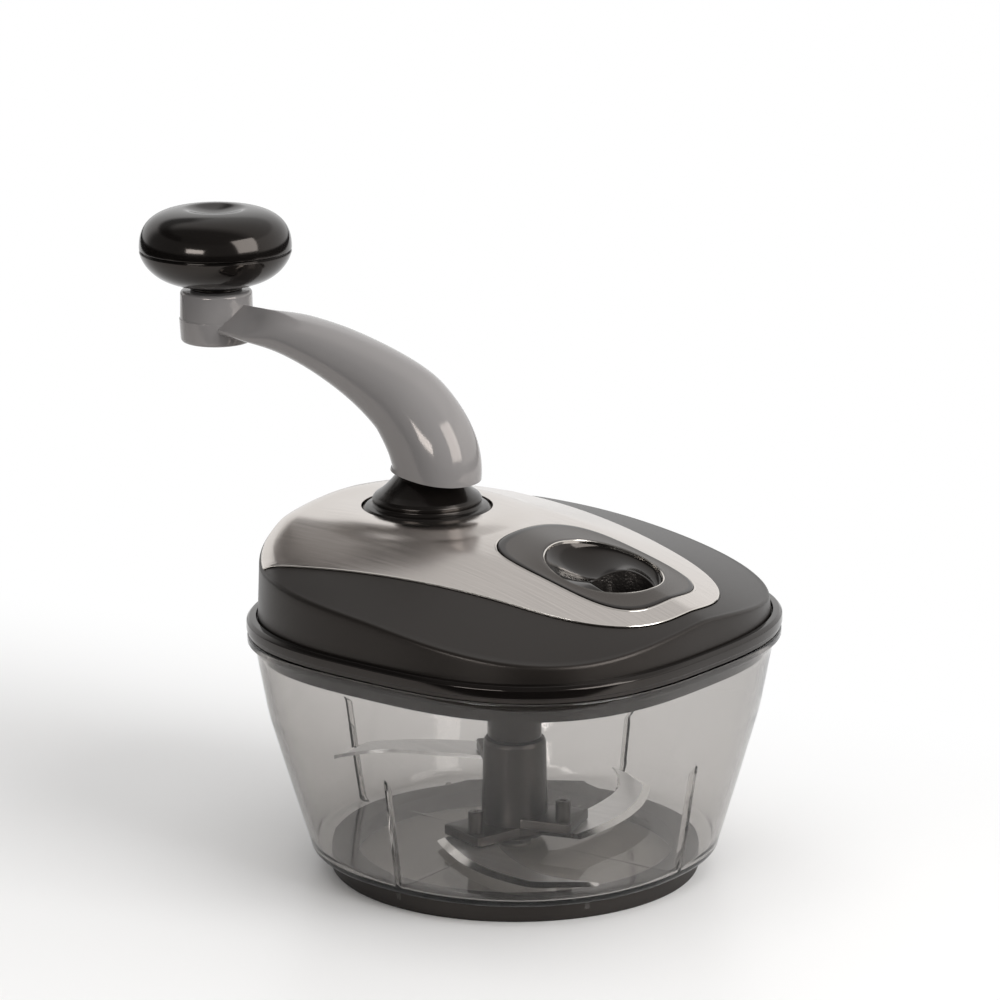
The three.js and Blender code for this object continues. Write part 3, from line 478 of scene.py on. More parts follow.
def raise_bump(surface: bpy.types.Node, height: bpy.types.NodeSocket, depth_mm: float) -> None:
    """Gives a shader a relief of a real depth."""
    tree = surface.id_data
    bump = add_node(tree, "ShaderNodeBump", {"Height": height, "Distance": depth_mm * MM, "Strength": 1.0})
    tree.links.new(bump.outputs["Normal"], surface.inputs["Normal"])


@dataclass(frozen=True)
class MouldedPlastic:
    """ABS as it leaves the mould: polished tools give gloss, spark-eroded tools a fine satin grain."""

    name: str
    base: str
    roughness: float
    grain_mm: float = 0.5
    grain_depth_mm: float = 0.0
    flow_mm: float = 26.0
    roughness_play: float = 0.03
    shade_play: float = 0.08
    ior: float = 1.54
    shine: float = 0.5
    shine_tint: str = "#fff3ea"

    def build(self) -> bpy.types.Material:
        """Returns the material: flow marks change the shade a little, and the grain the gloss and the relief."""
        material, tree, surface = new_material(self.name, {
            "IOR": self.ior, "Specular IOR Level": self.shine, "Specular Tint": colour(self.shine_tint)})
        # Flow marks of the melt are tens of millimetres long
        flow = noise(tree, self.flow_mm, 3.0, 0.55)
        shade = add_node(tree, "ShaderNodeMapRange", {
            "Value": flow, "To Min": 1 - self.shade_play, "To Max": 1 + self.shade_play})
        tint(surface, self.base, shade.outputs["Result"])
        grain = noise(tree, self.grain_mm, 2.0)
        vary_gloss(surface, grain, self.roughness, self.roughness_play)
        if self.grain_depth_mm:
            raise_bump(surface, grain, self.grain_depth_mm)
        return material


@dataclass(frozen=True)
class ClearSan:
    """Styrene acrylonitrile, moulded clear with a smoky tint: glassy faces, refraction and grey light through it."""

    name: str = "smoky_san"
    smoke: tuple[float, float, float] = (0.07, 0.033, 0.0)
    smoke_density: float = 142.0
    ior: float = 1.42
    roughness: float = 0.01
    let_through: str = "#fdfdfc"
    wave_mm: float = 30.0
    wave_depth_mm: float = 0.008

    def build(self) -> bpy.types.Material:
        """Returns the material, with a faint waviness of the moulded faces."""
        material, tree, surface = new_material(self.name, {
            "Base Color": colour("#fbfaf9"), "IOR": self.ior, "Roughness": self.roughness,
            "Transmission Weight": 1.0})
        # The smoke is in the plastic: thick places and edges on view are darker than the walls
        smoke = add_node(tree, "ShaderNodeVolumeAbsorption", {
            "Color": (*self.smoke, 1.0), "Density": self.smoke_density})
        out = tree.get_output_node("ALL")
        tree.links.new(smoke.outputs["Volume"], out.inputs["Volume"])
        # Thin walls hardly bend the light of the lamps: it goes straight in, less what each face throws back
        path = add_node(tree, "ShaderNodeLightPath")
        straight = add_node(tree, "ShaderNodeBsdfTransparent", {"Color": colour(self.let_through)})
        faces = add_node(tree, "ShaderNodeMixShader", {
            0: path.outputs["Is Shadow Ray"], 1: surface.outputs["BSDF"], 2: straight.outputs["BSDF"]})
        tree.links.new(faces.outputs["Shader"], out.inputs["Surface"])
        raise_bump(surface, noise(tree, self.wave_mm, 1.0), self.wave_depth_mm)
        return material


@dataclass(frozen=True)
class BrushedStainless:
    """Stainless sheet, brushed or ground one way: long streaks and a stretched highlight."""

    name: str
    base: str
    roughness: float
    streak_mm: tuple[float, float, float] = (30.0, 0.35, 40.0)
    streak_depth_mm: float = 0.0015
    anisotropy: float = 0.55
    streak_shades: tuple[float, float] = (0.86, 1.04)
    roughness_play: float = 0.08

    def build(self) -> bpy.types.Material:
        """Returns the material, whose streaks run along x."""
        material, tree, surface = new_material(self.name, {
            "Metallic": 1.0, "Anisotropic": self.anisotropy})
        place = add_node(tree, "ShaderNodeTexCoord")
        stretch = add_node(tree, "ShaderNodeVectorMath", {
            0: place.outputs["Object"], 1: tuple(1 / (size * MM) for size in self.streak_mm)}, operation="MULTIPLY")
        streak = add_node(tree, "ShaderNodeTexNoise", {
            "Vector": stretch.outputs["Vector"], "Scale": 1.0, "Detail": 4.0, "Roughness": 0.6}).outputs["Fac"]
        dark, light = self.streak_shades
        shade = add_node(tree, "ShaderNodeMapRange", {
            "Value": streak, "From Min": 0.25, "From Max": 0.75, "To Min": dark, "To Max": light})
        tint(surface, self.base, shade.outputs["Result"])
        vary_gloss(surface, streak, self.roughness, self.roughness_play)
        raise_bump(surface, streak, self.streak_depth_mm)
        lie = add_node(tree, "ShaderNodeNewGeometry")
        along = add_node(tree, "ShaderNodeVectorMath", {
            0: (0.0, 1.0, 0.0), 1: lie.outputs["Normal"]}, operation="CROSS_PRODUCT")
        tree.links.new(along.outputs["Vector"], surface.inputs["Tangent"])
        return material


@dataclass(frozen=True)
class PlainMetal:
    """Turned or ground metal: even colour with faint tool marks in its gloss."""

    name: str
    base: str
    roughness: float
    roughness_play: float = 0.05
    mark_mm: float = 0.6

    def build(self) -> bpy.types.Material:
        """Returns the material."""
        material, tree, surface = new_material(self.name, {"Base Color": colour(self.base), "Metallic": 1.0})
        vary_gloss(surface, noise(tree, self.mark_mm, 3.0), self.roughness, self.roughness_play)
        return material


class Finishes:
    """All finishes of the chopper, each built once."""

    def __init__(self) -> None:
        """Builds the materials."""
        self.clear = ClearSan().build()
        self.gloss_black = MouldedPlastic("gloss_black_abs", "#0f0d0c", 0.12, roughness_play=0.02, shine=0.4).build()
        self.satin_black = MouldedPlastic(
            "satin_black_abs", "#14110f", 0.36, grain_mm=0.45, grain_depth_mm=0.02, roughness_play=0.05,
            shine=0.4).build()
        self.soft_black = MouldedPlastic("soft_gloss_black_abs", "#0e0c0b", 0.2, roughness_play=0.04, shine=0.4).build()
        self.trim_black = MouldedPlastic(
            "trim_black_abs", "#2c2723", 0.24, grain_mm=0.45, grain_depth_mm=0.008, roughness_play=0.04).build()
        self.grained_black = MouldedPlastic(
            "grained_black_abs", "#1b1918", 0.32, grain_mm=0.8, grain_depth_mm=0.2, roughness_play=0.08).build()
        self.column_black = MouldedPlastic("column_black_abs", "#0f0e0d", 0.3).build()
        self.grey = MouldedPlastic("gloss_grey_abs", "#868382", 0.12, roughness_play=0.015, shade_play=0.02).build()
        self.rubber = MouldedPlastic(
            "moulded_rubber", "#0f0e0e", 0.55, grain_mm=0.6, grain_depth_mm=0.03, ior=1.5).build()
        self.acetal = MouldedPlastic("natural_acetal", "#e2dfd6", 0.4, shade_play=0.03, ior=1.48).build()
        self.brushed = BrushedStainless("brushed_stainless", "#d6cfc9", 0.18).build()
        self.plate_edge = PlainMetal("polished_plate_edge", "#dcd6cf", 0.16).build()
        self.blade = BrushedStainless(
            "ground_blade_steel", "#fbfbfb", 0.34, streak_mm=(40.0, 3.0, 40.0), streak_depth_mm=0.0005,
            anisotropy=0.2).build()
        self.bevel = PlainMetal("honed_bevel_steel", "#f2f1ef", 0.15).build()
        self.steel = PlainMetal("turned_steel", "#bdbbb8", 0.25).build()
        self.brass = PlainMetal("turned_brass", "#b8923f", 0.3).build()


# The object


@dataclass
class BowlAssembly:
    """The clear bowl, its non-slip ring and the pin that carries the cutter."""

    finishes: Finishes
    foot_height: float = 6.5
    foot_radius: float = 62.0
    foot_width: float = 9.0
    foot_inside: float = 3.0
    key_width: float = 1.8
    key_depth: float = 0.7
    key_height: float = 3.2
    key_root: float = 0.5
    key_count: int = 6
    pin_radius: float = 2.5
    pin_head_radius: float = 5.5
    pin_head: tuple[float, float] = (5.1, 6.5)
    pin_tip: float = 29.8
    underside: float = 6.8
    floor_top: float = 8.8
    floor_middle: float = 4.0
    corner: float = 3.0
    inner_corner: float = 1.8
    rim_top: float = 82.0
    rim_depth: float = 2.6
    rim_lip: float = 2.0
    inside_from: float = 3.0
    wall: float = 2.2
    foot_half: float = 67.3
    rim_half: float = 78.8
    foot_squareness: float = 2.15
    rim_squareness: float = 2.8
    square_from: float = 0.65
    rib_top: float = 47.2
    rib_depth: float = 2.2
    rib_width: float = 1.7
    rib_tip_share: float = 0.62
    rib_slant: float = 3.5
    rib_count: int = 4
    rib_turn: float = math.radians(2.5)
    rib_places: tuple[float, ...] = (-1.25, -1.0, -0.8, -0.4, 0.4, 0.8, 1.0, 1.25)
    rib_sides: tuple[float, float] = (1.15, 0.85)
    sides: int = 160
    wall_steps: int = 24
    inside_steps: int = 40

    def share(self, height: float) -> float:
        """Returns how far up the wall a height is, from 0 to 1."""
        foot = self.underside + self.corner
        return min(max((height - foot) / (self.rim_top - self.rim_depth - foot), 0), 1)

    def half(self, height: float) -> float:
        """Returns half the bowl's width at a height."""
        return lerp(self.foot_half, self.rim_half, self.share(height))

    def squareness(self, height: float) -> float:
        """Returns how square the bowl is at a height."""
        return lerp(self.foot_squareness, self.rim_squareness, min(self.share(height) / self.square_from, 1))

    def turns(self) -> list[float]:
        """Returns angles that are closer together at the ribs."""
        found = set(even_turns(self.sides))
        half = self.rib_width / 2 / self.foot_half
        for turn in even_turns(self.rib_count):
            found.update((turn + self.rib_turn + half * place) % TURN for place in self.rib_places)
        return sorted(found)

    def rib(self, height: float) -> Callable[[float], float]:
        """Finds how far the ribs stand in at a height.

        Args:
            height: The height.

        Returns:
            A function of the angle that gives the distance from the wall.
        """
        rise = smoothstep(height, self.rib_top, self.rib_top - self.rib_slant)
        width = lerp(1.0, self.rib_tip_share, min(height / self.rib_top, 1))
        apart = TURN / self.rib_count
        half = self.rib_width / 2

        def stand(turn: float) -> float:
            """Returns how far the inside stands in at an angle."""
            off = abs((turn - self.rib_turn + apart / 2) % apart - apart / 2) * self.foot_half / half
            low, high = (side * width for side in self.rib_sides)
            return self.rib_depth * rise * smoothstep(off, low, high)

        return stand

    def wall_skin(self) -> Skin:
        """Returns the bowl's closed shell, up the outside, over the rim and down the inside."""
        low, head, inner = self.underside + self.corner, self.rim_top - self.rim_depth, self.inner_corner
        lip, mouth = self.rim_half + self.rim_lip, self.rim_half - self.wall
        # Rows of half width, squareness and height
        outside = [(self.floor_middle, 2, self.underside)]
        outside += [
            (self.foot_half - self.corner * (1 - math.sin(angle)), self.foot_squareness,
             low - self.corner * math.cos(angle)) for angle in quarter(0, 6)]
        rises = [lerp(low, head, step / self.wall_steps) for step in range(1, self.wall_steps)]
        outside += [(self.half(height), self.squareness(height), height) for height in rises]
        outside += [(half, self.rim_squareness, height) for half, height in softened([
            (self.rim_half, head - 1.2, 0), (self.rim_half, head, 0.5), (lip, head, 0.6), (lip, self.rim_top, 0.7),
            (mouth, self.rim_top, 0.5), (mouth, self.rim_top - 2, 0)])]
        falls = [
            lerp(self.rim_top - self.inside_from, self.floor_top + inner, step / self.inside_steps)
            for step in range(self.inside_steps + 1)]
        # One more row at each end of the slant that tops the ribs
        falls += [self.rib_top - 0.02, self.rib_top - self.rib_slant + 0.02]
        inside = [
            (self.half(height) - self.wall, self.squareness(height), height) for height in sorted(falls, reverse=True)]
        inside += [
            (self.foot_half - self.wall - inner * (1 - math.cos(angle)), self.foot_squareness,
             self.floor_top + inner * (1 - math.sin(angle))) for angle in quarter(1, 8)]
        turns = self.turns()
        rings = [plan_ring(*row, turns) for row in outside]
        rings += [plan_ring(*row, turns, self.rib(row[-1])) for row in inside]
        return loft([*rings, plan_ring(self.floor_middle, 2, self.floor_top, turns)])

    def keys_skin(self) -> Skin:
        """Returns the lugs that key the ring to the bowl."""
        keys = Skin()
        lug = block(self.foot_radius - self.key_depth, self.foot_radius, self.key_width / 2,
                    self.foot_height - self.key_height, self.underside + self.key_root)
        for key in range(self.key_count):
            spin = Matrix.Rotation(TURN * (key + 0.5) / self.key_count, 4, "Z")
            keys.join(lug.moved(Matrix.Translation((BOWL_X, 0, 0)) @ spin))
        return keys

    def ring_skin(self) -> Skin:
        """Returns the non-slip ring, with softened edges."""
        inner = self.foot_radius - self.foot_width
        return turned([
            (inner, self.foot_inside, 0), (inner, 0, 0.8), (self.foot_radius, 0, 0.9),
            (self.foot_radius, self.foot_height, 0.5), (inner, self.foot_height, 0.5), (inner, self.foot_inside, 0),
        ], 192, BOWL_X)

    def pin_skin(self) -> Skin:
        """Returns the riveted pin."""
        low, high = self.pin_head
        return turned([
            (0, low, 0), (self.pin_head_radius, low, 0.5), (self.pin_head_radius, high, 0.2),
            (self.pin_radius, high, 0), (self.pin_radius, self.pin_tip, 1.2), (0, self.pin_tip, 0),
        ], 48, BOWL_X)

    def build(self) -> None:
        """Makes the pieces of the bowl."""
        made = self.finishes
        piece("bowl_shell", self.wall_skin(), Body.BOWL, [made.clear], ["bowl"], 40)
        piece("bowl_keys", self.keys_skin(), Body.BOWL, [made.clear])
        piece("non_slip_ring", self.ring_skin(), Body.BOWL, [made.rubber], ["foot_ring"])
        piece("cutter_pin", self.pin_skin(), Body.BOWL, [made.steel], ["pivot_pin"])


@dataclass
class Crown:
    """The lid's domed top as a height over the plan, measured from the bowl's axis.

    A crease runs along each side, sharp over the crank's end and lost beyond the filling hole. It parts the
    nearly level top from the slopes.
    """

    top: float = 117.4
    ridge_radius: float = 335.0
    top_slope: float = 0.092
    side_slope: float = 0.257
    crease: float = 28.3
    crease_taper: float = 0.05
    crease_softness: tuple[float, float] = (1.6, 22.0)
    crease_fade: tuple[float, float] = (5.0, 55.0)
    middle_softness: float = 8.0
    land_radius: float = 23.5
    land_blend: float = 14.0
    land_drop: float = 0.4
    end_roll: float = 6.5
    end_width: float = 6.8
    end_half: float = 78.5
    end_shares: tuple[float, float] = (0.537, 0.767)
    squareness: float = 2.67
    probe: float = 0.4

    def height(self, x: float, y: float) -> float:
        """Returns the height of the top at a place, with a level land round the crank.

        Args:
            x: The place along the lid.
            y: The place across it.

        Returns:
            The height.
        """
        from_crank = x + BOWL_X
        ridge = self.top - max(from_crank, 0) ** 2 / (2 * self.ridge_radius)
        land = smoothstep(math.hypot(from_crank, y), self.land_radius, self.land_radius + self.land_blend)
        return lerp(self.top - self.land_drop, ridge - self.fall(x, y), land) - self.roll(x, y)

    def fall(self, x: float, y: float) -> float:
        """Returns how far the top has fallen beside its middle line.

        Args:
            x: The place along the lid.
            y: The place across it.

        Returns:
            The fall, slight up to the crease and steeper beyond it.
        """
        crease = self.crease - self.crease_taper * x
        soft = lerp(*self.crease_softness, smoothstep(x, *self.crease_fade))
        beyond = abs(y) - crease
        bend = (beyond + math.hypot(beyond, soft) + crease - math.hypot(crease, soft)) / 2
        middle = math.hypot(y, self.middle_softness) - self.middle_softness
        return self.top_slope * middle + (self.side_slope - self.top_slope) * bend

    def roll(self, x: float, y: float) -> float:
        """Returns the drop of the rolled edge at the crank's end.

        Args:
            x: The place along the lid.
            y: The place across it.

        Returns:
            The drop, which is 0 away from that end.
        """
        end = smoothstep(-x / self.end_half, *self.end_shares)
        if end == 0:
            return 0
        reach = square_reach(math.atan2(y, x), self.end_half, self.squareness)
        start = 1 - self.end_width / self.end_half
        share = min(max((math.hypot(x, y) / reach - start) / (1 - start), 0), 1) * 0.95
        return end * self.end_roll * (1 - math.sqrt(1 - share**2))

    def point(self, x: float, y: float, lift: float = 0.0) -> Vector:
        """Finds a point over the top.

        Args:
            x: The place along the lid.
            y: The place across it.
            lift: How far the point is lifted along the top's normal.

        Returns:
            The point.
        """
        step = self.probe
        slope_x = (self.height(x + step, y) - self.height(x - step, y)) / (2 * step)
        slope_y = (self.height(x, y + step) - self.height(x, y - step)) / (2 * step)
        normal = Vector((-slope_x, -slope_y, 1)).normalized()
        return Vector((x + BOWL_X, y, self.height(x, y))) + normal * lift


@dataclass
class LidAssembly:
    """The lid: moulded ring, domed housing, stainless plate, surround and cup of the filling hole."""

    finishes: Finishes
    crown: Crown = field(default_factory=Crown)
    seat: float = 82.3
    ring_top: float = 88.0
    ring_half: float = 81.0
    floor_top: float = 84.0
    floor_under: float = 81.8
    skirt_low: float = 74.8
    skirt_half: float = 75.4
    skirt_wall: float = 2.0
    skirt_squareness: float = 2.8
    housing_half: float = 78.5
    housing_lean: float = 0.04
    housing_foot: float = 1.5
    edge_radius: float = 1.4
    edge_rise: float = 16.0
    gap: float = 0.3
    sleeve_radius: float = 9.0
    sleeve_bore: float = 5.7
    sleeve_flange: float = 14.0
    sleeve_low: float = 44.1
    sleeve_high: tuple[float, float] = (80.5, 81.9)
    plate_proud: float = 0.6
    plate_thickness: float = 0.8
    plate_root_half: float = 49.8
    plate_taper: float = 0.23
    plate_tip: float = 71.5
    plate_tip_round: float = 41.5
    plate_tip_power: float = 2.9
    plate_end_half: float = 77.0
    groove_rim: float = 0.12
    hub_hole: float = 22.15
    hub_floor: float = 114.9
    hub_cut_low: float = 112.0
    window_low: float = 90.0
    above_all: float = 125.0
    trim_place: float = 33.0
    trim_half_length: float = 30.5
    trim_half_width: float = 23.8
    trim_squareness: float = 3.4
    trim_proud: float = 0.9
    # Share of the way from the surround's edge to the hole, and depth under its highest band
    trim_bands: tuple[Place, ...] = (
        (0.0, 0.4), (0.008, 0.15), (0.03, 0.03), (0.06, 0.0), (0.11, 0.0), (0.17, 0.04), (0.4, 0.15), (0.65, 0.2),
        (0.86, 0.2), (0.95, 0.2), (0.985, 0.3), (1.0, 0.6))
    trim_satin: tuple[int, int] = (6, 10)
    # Sections of the two bright lines: share of their width outwards, and height
    cutout_lip: float = 0.55
    cutout_section: tuple[Place, ...] = (
        (0.0, -0.5), (0.0, 0.02), (0.3, 0.12), (0.75, 0.08), (1.0, -0.1), (1.0, -0.5))
    mouth_bead: float = 0.45
    mouth_section: tuple[Place, ...] = ((-0.2, -0.9), (-0.2, 0.0), (0.3, 0.25), (0.8, 0.1), (0.8, -0.9))
    mouth_sunk: float = 0.35
    fill_place: float = 36.5
    fill_radius: float = 19.4
    fill_gap: float = 1.5
    cup_depth: float = 14.6
    cup_sunk: float = 0.4
    cup_wall: float = 1.4
    cup_under: tuple[float, float] = (2.0, 1.8)
    cup_sides: int = 96
    pocket_radius: float = 11.4
    pocket_shift: float = 7.4
    pocket_power: float = 5.0
    pocket_lip: tuple[float, float] = (0.35, 1.04)
    # How fast the hollow closes in and how fast it drops, as powers of the way down
    hollow_powers: tuple[float, float] = (1.35, 1.7)
    hollow_steps: int = 18
    rim_depths: tuple[float, float] = (2.4, 9.0)
    # Floor of the pocket: radius, share of its shift and drop; then its outlet: radius and height
    pocket_floor: tuple[Corner, ...] = ((10.6, 1.0, 0.0), (7.5, 0.53, 0.3), (3.9, 0.08, 0.5), (3.2, 0.0, 0.8))
    outlet: tuple[Place, ...] = ((3.0, 82.0), (4.4, 82.0))
    sides: int = 240

    def outline(self, inside: Callable[[float, float], bool], centre: float, far: float) -> list[Place]:
        """Finds the edge of a region by halving, seen from a place on the lid's long axis.

        Args:
            inside: Says whether a place is inside the region.
            centre: The place along the axis.
            far: A distance that is always outside.

        Returns:
            Places on the edge, one for each angle.
        """
        edge = []
        for turn in even_turns(self.sides):
            near, out = 0.0, far
            for _ in range(26):
                middle = (near + out) / 2
                if inside(*polar(middle, turn, centre)):
                    near = middle
                else:
                    out = middle
            edge.append(polar(near, turn, centre))
        return edge

    def plate_outline(self, grow: float) -> list[Place]:
        """Finds the plate's edge: straight tapering sides, a round tip and the housing's own end.

        Args:
            grow: How far the edge is moved outwards.

        Returns:
            Places on the edge.
        """
        tip_start = self.plate_tip - self.plate_tip_round
        power = self.plate_tip_power

        def inside(x: float, y: float) -> bool:
            """Says whether a place is under the plate."""
            side = self.plate_root_half - self.plate_taper * x + grow
            along = min(max((x - tip_start) / (self.plate_tip_round + grow), 0), 1)
            edge = square_reach(math.atan2(y, x), self.plate_end_half + grow, self.crown.squareness)
            return abs(y) < side * (1 - along**power) ** (1 / power) and math.hypot(x, y) < edge

        return self.outline(inside, 0, 2 * self.housing_half)

    def trim_outline(self, grow: float) -> list[Place]:
        """Finds the surround's edge, a long rounded square.

        Args:
            grow: How far the edge is moved outwards.

        Returns:
            Places on the edge.
        """

        def inside(x: float, y: float) -> bool:
            """Says whether a place is inside the surround's edge."""
            along = abs(x - self.trim_place) / (self.trim_half_length + grow)
            across = abs(y) / (self.trim_half_width + grow)
            return along**self.trim_squareness + across**self.trim_squareness < 1

        return self.outline(inside, self.trim_place, 2 * self.trim_half_length)

    def crown_ring(self, edge: Edge, share: float = 1.0, lift: float = 0.0, start: Edge | None = None) -> Ring:
        """Returns a ring on the crown at a share of the way to an edge.

        Args:
            edge: The edge.
            share: The share of the way.
            lift: Its height over the crown.
            start: Where the way starts; without it, on the bowl's axis.

        Returns:
            The ring.
        """
        start = start or [(0.0, 0.0)] * len(edge)
        return [self.crown.point(*on_way(near, far, share), lift) for near, far in zip(start, edge)]

    def ring_skin(self) -> Skin:
        """Returns the base's moulded ring with the skirt that drops into the bowl."""
        outer, inner, groove = self.ring_half, self.skirt_half - self.skirt_wall, self.housing_half + 0.25
        profile = softened([
            (inner, self.floor_under, 0), (inner, self.skirt_low, 0.5), (self.skirt_half, self.skirt_low, 0.5),
            (self.skirt_half, self.seat, 0.3), (outer - 0.5, self.seat, 0.35), (outer - 0.45, 83.5, 0.2),
            (outer, 83.8, 0.45), (outer - 0.05, 86.7, 0.9), (outer - 0.9, 87.8, 0.4),
            (self.housing_half + 0.5, self.ring_top, 0.2), (groove, 87.4, 0.1), (groove, self.floor_top, 0),
        ])
        turns = even_turns(self.sides)
        return loft([plan_ring(half, self.squareness(half), height, turns) for half, height in profile])

    def squareness(self, half: float) -> float:
        """Returns how square the base is at half a width: as the bowl outside, as the housing within."""
        if half < self.housing_half:
            return self.skirt_squareness
        outside = smoothstep(half, self.housing_half + 0.3, self.ring_half - 0.6)
        return lerp(self.crown.squareness, self.skirt_squareness, outside)

    def sleeve_skin(self) -> Skin:
        """Returns the tube that guides the cutter's drive."""
        foot, roof = self.sleeve_high
        start = (self.sleeve_bore, self.sleeve_low + 2, 0)
        return turned([
            start, (self.sleeve_bore, self.sleeve_low, 0.3), (self.sleeve_radius, self.sleeve_low, 0.5),
            (self.sleeve_radius, foot, 1.5), (self.sleeve_flange, roof, 0), (self.sleeve_bore, roof, 0), start,
        ], 72, BOWL_X)

    def wall_outline(self, height: float) -> list[Place]:
        """Returns the housing's wall in plan at a height."""
        half = self.housing_half - self.housing_lean * (height - self.ring_top)
        return [polar(square_reach(turn, half, self.crown.squareness), turn) for turn in even_turns(self.sides)]

    def housing_skin(self) -> Skin:
        """Returns the housing: recess for the plate, crown, rounded shoulder and wall."""
        groove = self.plate_outline(self.gap)
        recess = self.plate_proud - self.plate_thickness - self.gap
        wall = self.wall_outline(self.ring_top + self.edge_rise)
        rim = [self.stepped(spot, self.groove_rim, edge) for spot, edge in zip(groove, wall)]
        inner = [self.stepped(edge, -self.edge_radius) for edge in wall]
        rings = [self.crown_ring(groove, share, recess) for share in (0.3, 0.6, 0.85, 1)]
        rings += [self.crown_ring(groove, lift=-self.groove_rim), self.crown_ring(rim)]
        rings += [self.crown_ring(inner, step / 14, start=rim) for step in range(1, 15)]
        for angle in quarter(1, 5):
            drop = self.edge_radius * (1 - math.cos(angle))
            ring = []
            for start, edge in zip(inner, wall):
                x, y = on_way(start, edge, math.sin(angle))
                ring.append(Vector((x + BOWL_X, y, self.crown.height(*start) - drop)))
            rings.append(ring)
        top, foot = rings[-1], flat_ring(self.wall_outline(self.ring_top), self.ring_top - self.housing_foot)
        rings += [[high.lerp(end, step / 8) for high, end in zip(top, foot)] for step in range(1, 9)]
        return loft(rings)

    @staticmethod
    def stepped(spot: Place, distance: float, edge: Place | None = None) -> Place:
        """Moves a place outwards from the bowl's axis.

        Args:
            spot: The place.
            distance: How far it moves; less than 0 is inwards.
            edge: A place in the same direction that it never passes.

        Returns:
            The new place.
        """
        reach = math.hypot(*spot)
        moved = reach + distance
        if edge:
            moved = min(moved, max(math.hypot(*edge) - 0.2, 1))
        return (spot[0] * moved / reach, spot[1] * moved / reach)

    def plate_skin(self) -> Skin:
        """Returns the cover plate with a rounded, polished edge."""
        edge = self.plate_outline(0)
        top = self.plate_proud
        under = top - self.plate_thickness
        bands = [(0.3, under), (0.6, under), (0.85, under), (0.99, under)]
        bands += [(1, under + 0.1), (1, top - 0.25), (0.998, top - 0.06), (0.9935, top)]
        polished = range(3, len(bands) - 1)
        bands += [(0.04 + 0.945 * (step / 26), top) for step in range(26, -1, -1)]
        rings = [self.crown_ring(edge, share, lift) for share, lift in bands]
        return loft(rings, [int(band in polished) for band in range(len(rings) - 1)])

    def trim_skin(self) -> Skin:
        """Returns the raised surround between its outline and the filling hole."""
        outer = self.trim_outline(0)
        turns = [math.atan2(y, x - self.fill_place) for x, y in outer]
        hole = [polar(self.fill_radius, turn, self.fill_place) for turn in turns]
        low = self.plate_proud - self.plate_thickness
        bands = [(0.0, low), *((share, self.trim_proud - drop) for share, drop in self.trim_bands), (1.0, low)]
        rings = [self.crown_ring(hole, share, lift, outer) for share, lift in bands]
        satin = range(*self.trim_satin)
        return loft([*rings, rings[0]], [int(band not in satin) for band in range(len(rings))], capped=False)

    def cutout_skin(self) -> Skin:
        """Returns the polished lip of the plate round the surround."""
        rings = [
            self.crown_ring(self.trim_outline(self.gap + out * self.cutout_lip), lift=self.plate_proud + lift)
            for out, lift in self.cutout_section]
        return loft([*rings, rings[0]], capped=False)

    def mouth_skin(self) -> Skin:
        """Returns the bright bead round the mouth of the filling hole."""
        rings = []
        for out, lift in self.mouth_section:
            edge = circle(self.fill_radius + out * self.mouth_bead, self.fill_place, 144)
            rings.append(self.crown_ring(edge, lift=self.trim_proud - self.mouth_sunk + lift))
        return loft([*rings, rings[0]], capped=False)

    def cup_skin(self) -> Skin:
        """Returns the cup: a glossy hollow that runs down to a grained pocket with its outlet."""
        low = self.crown.height(self.fill_place, 0) - self.cup_depth
        outer = self.fill_radius + self.cup_wall
        closing, dropping = self.hollow_powers
        hollow = []
        for step in range(self.hollow_steps + 1):
            share = step / self.hollow_steps
            inward = share**closing
            reach = lerp(self.fill_radius, self.pocket_radius, inward)
            hollow.append(self.cup_ring(reach, self.pocket_shift * inward, 1 - (1 - share) ** dropping))
        inset, depth = self.pocket_lip
        pocket = [self.cup_ring(self.pocket_radius - inset, self.pocket_shift, depth)]
        for across, share, drop in self.pocket_floor:
            pocket.append(self.level_ring(across, self.pocket_shift * share, low - drop))
        near, far = self.cup_under
        tail = [*self.outlet, (self.outlet[-1][0], low - near), (outer, low - far)]
        outside = [self.level_ring(across, 0.0, height) for across, height in tail]
        outside.append(self.cup_ring(outer, 0.0, 0.0))
        marks = [0] * len(hollow) + [1] * len(pocket) + [0] * len(outside)
        return loft([*hollow, *pocket, *outside, hollow[0]], marks, capped=False)

    def level_ring(self, across: float, shift: float, height: float) -> Ring:
        """Returns a level circle of the cup."""
        return flat_ring(circle(across, self.fill_place + shift, self.cup_sides), height)

    def cup_ring(self, across: float, shift: float, depth: float) -> Ring:
        """Returns a ring of the cup on its way from the mouth to the pocket's rim.

        The mouth follows the crown. The pocket's rim is near it at the tip of the lid and deep at the crank.

        Args:
            across: Radius of the ring.
            shift: How far its middle has moved towards the tip.
            depth: Share of the way down.

        Returns:
            The ring.
        """
        ring = []
        for turn in even_turns(self.cup_sides):
            x, y = polar(across, turn, self.fill_place + shift)
            mouth = self.crown.height(*polar(self.fill_radius, turn, self.fill_place)) - self.cup_sunk
            rim = lerp(*self.rim_depths, ((1 - math.cos(turn)) / 2) ** self.pocket_power)
            ring.append(Vector((x + BOWL_X, y, mouth - rim * depth)))
        return ring

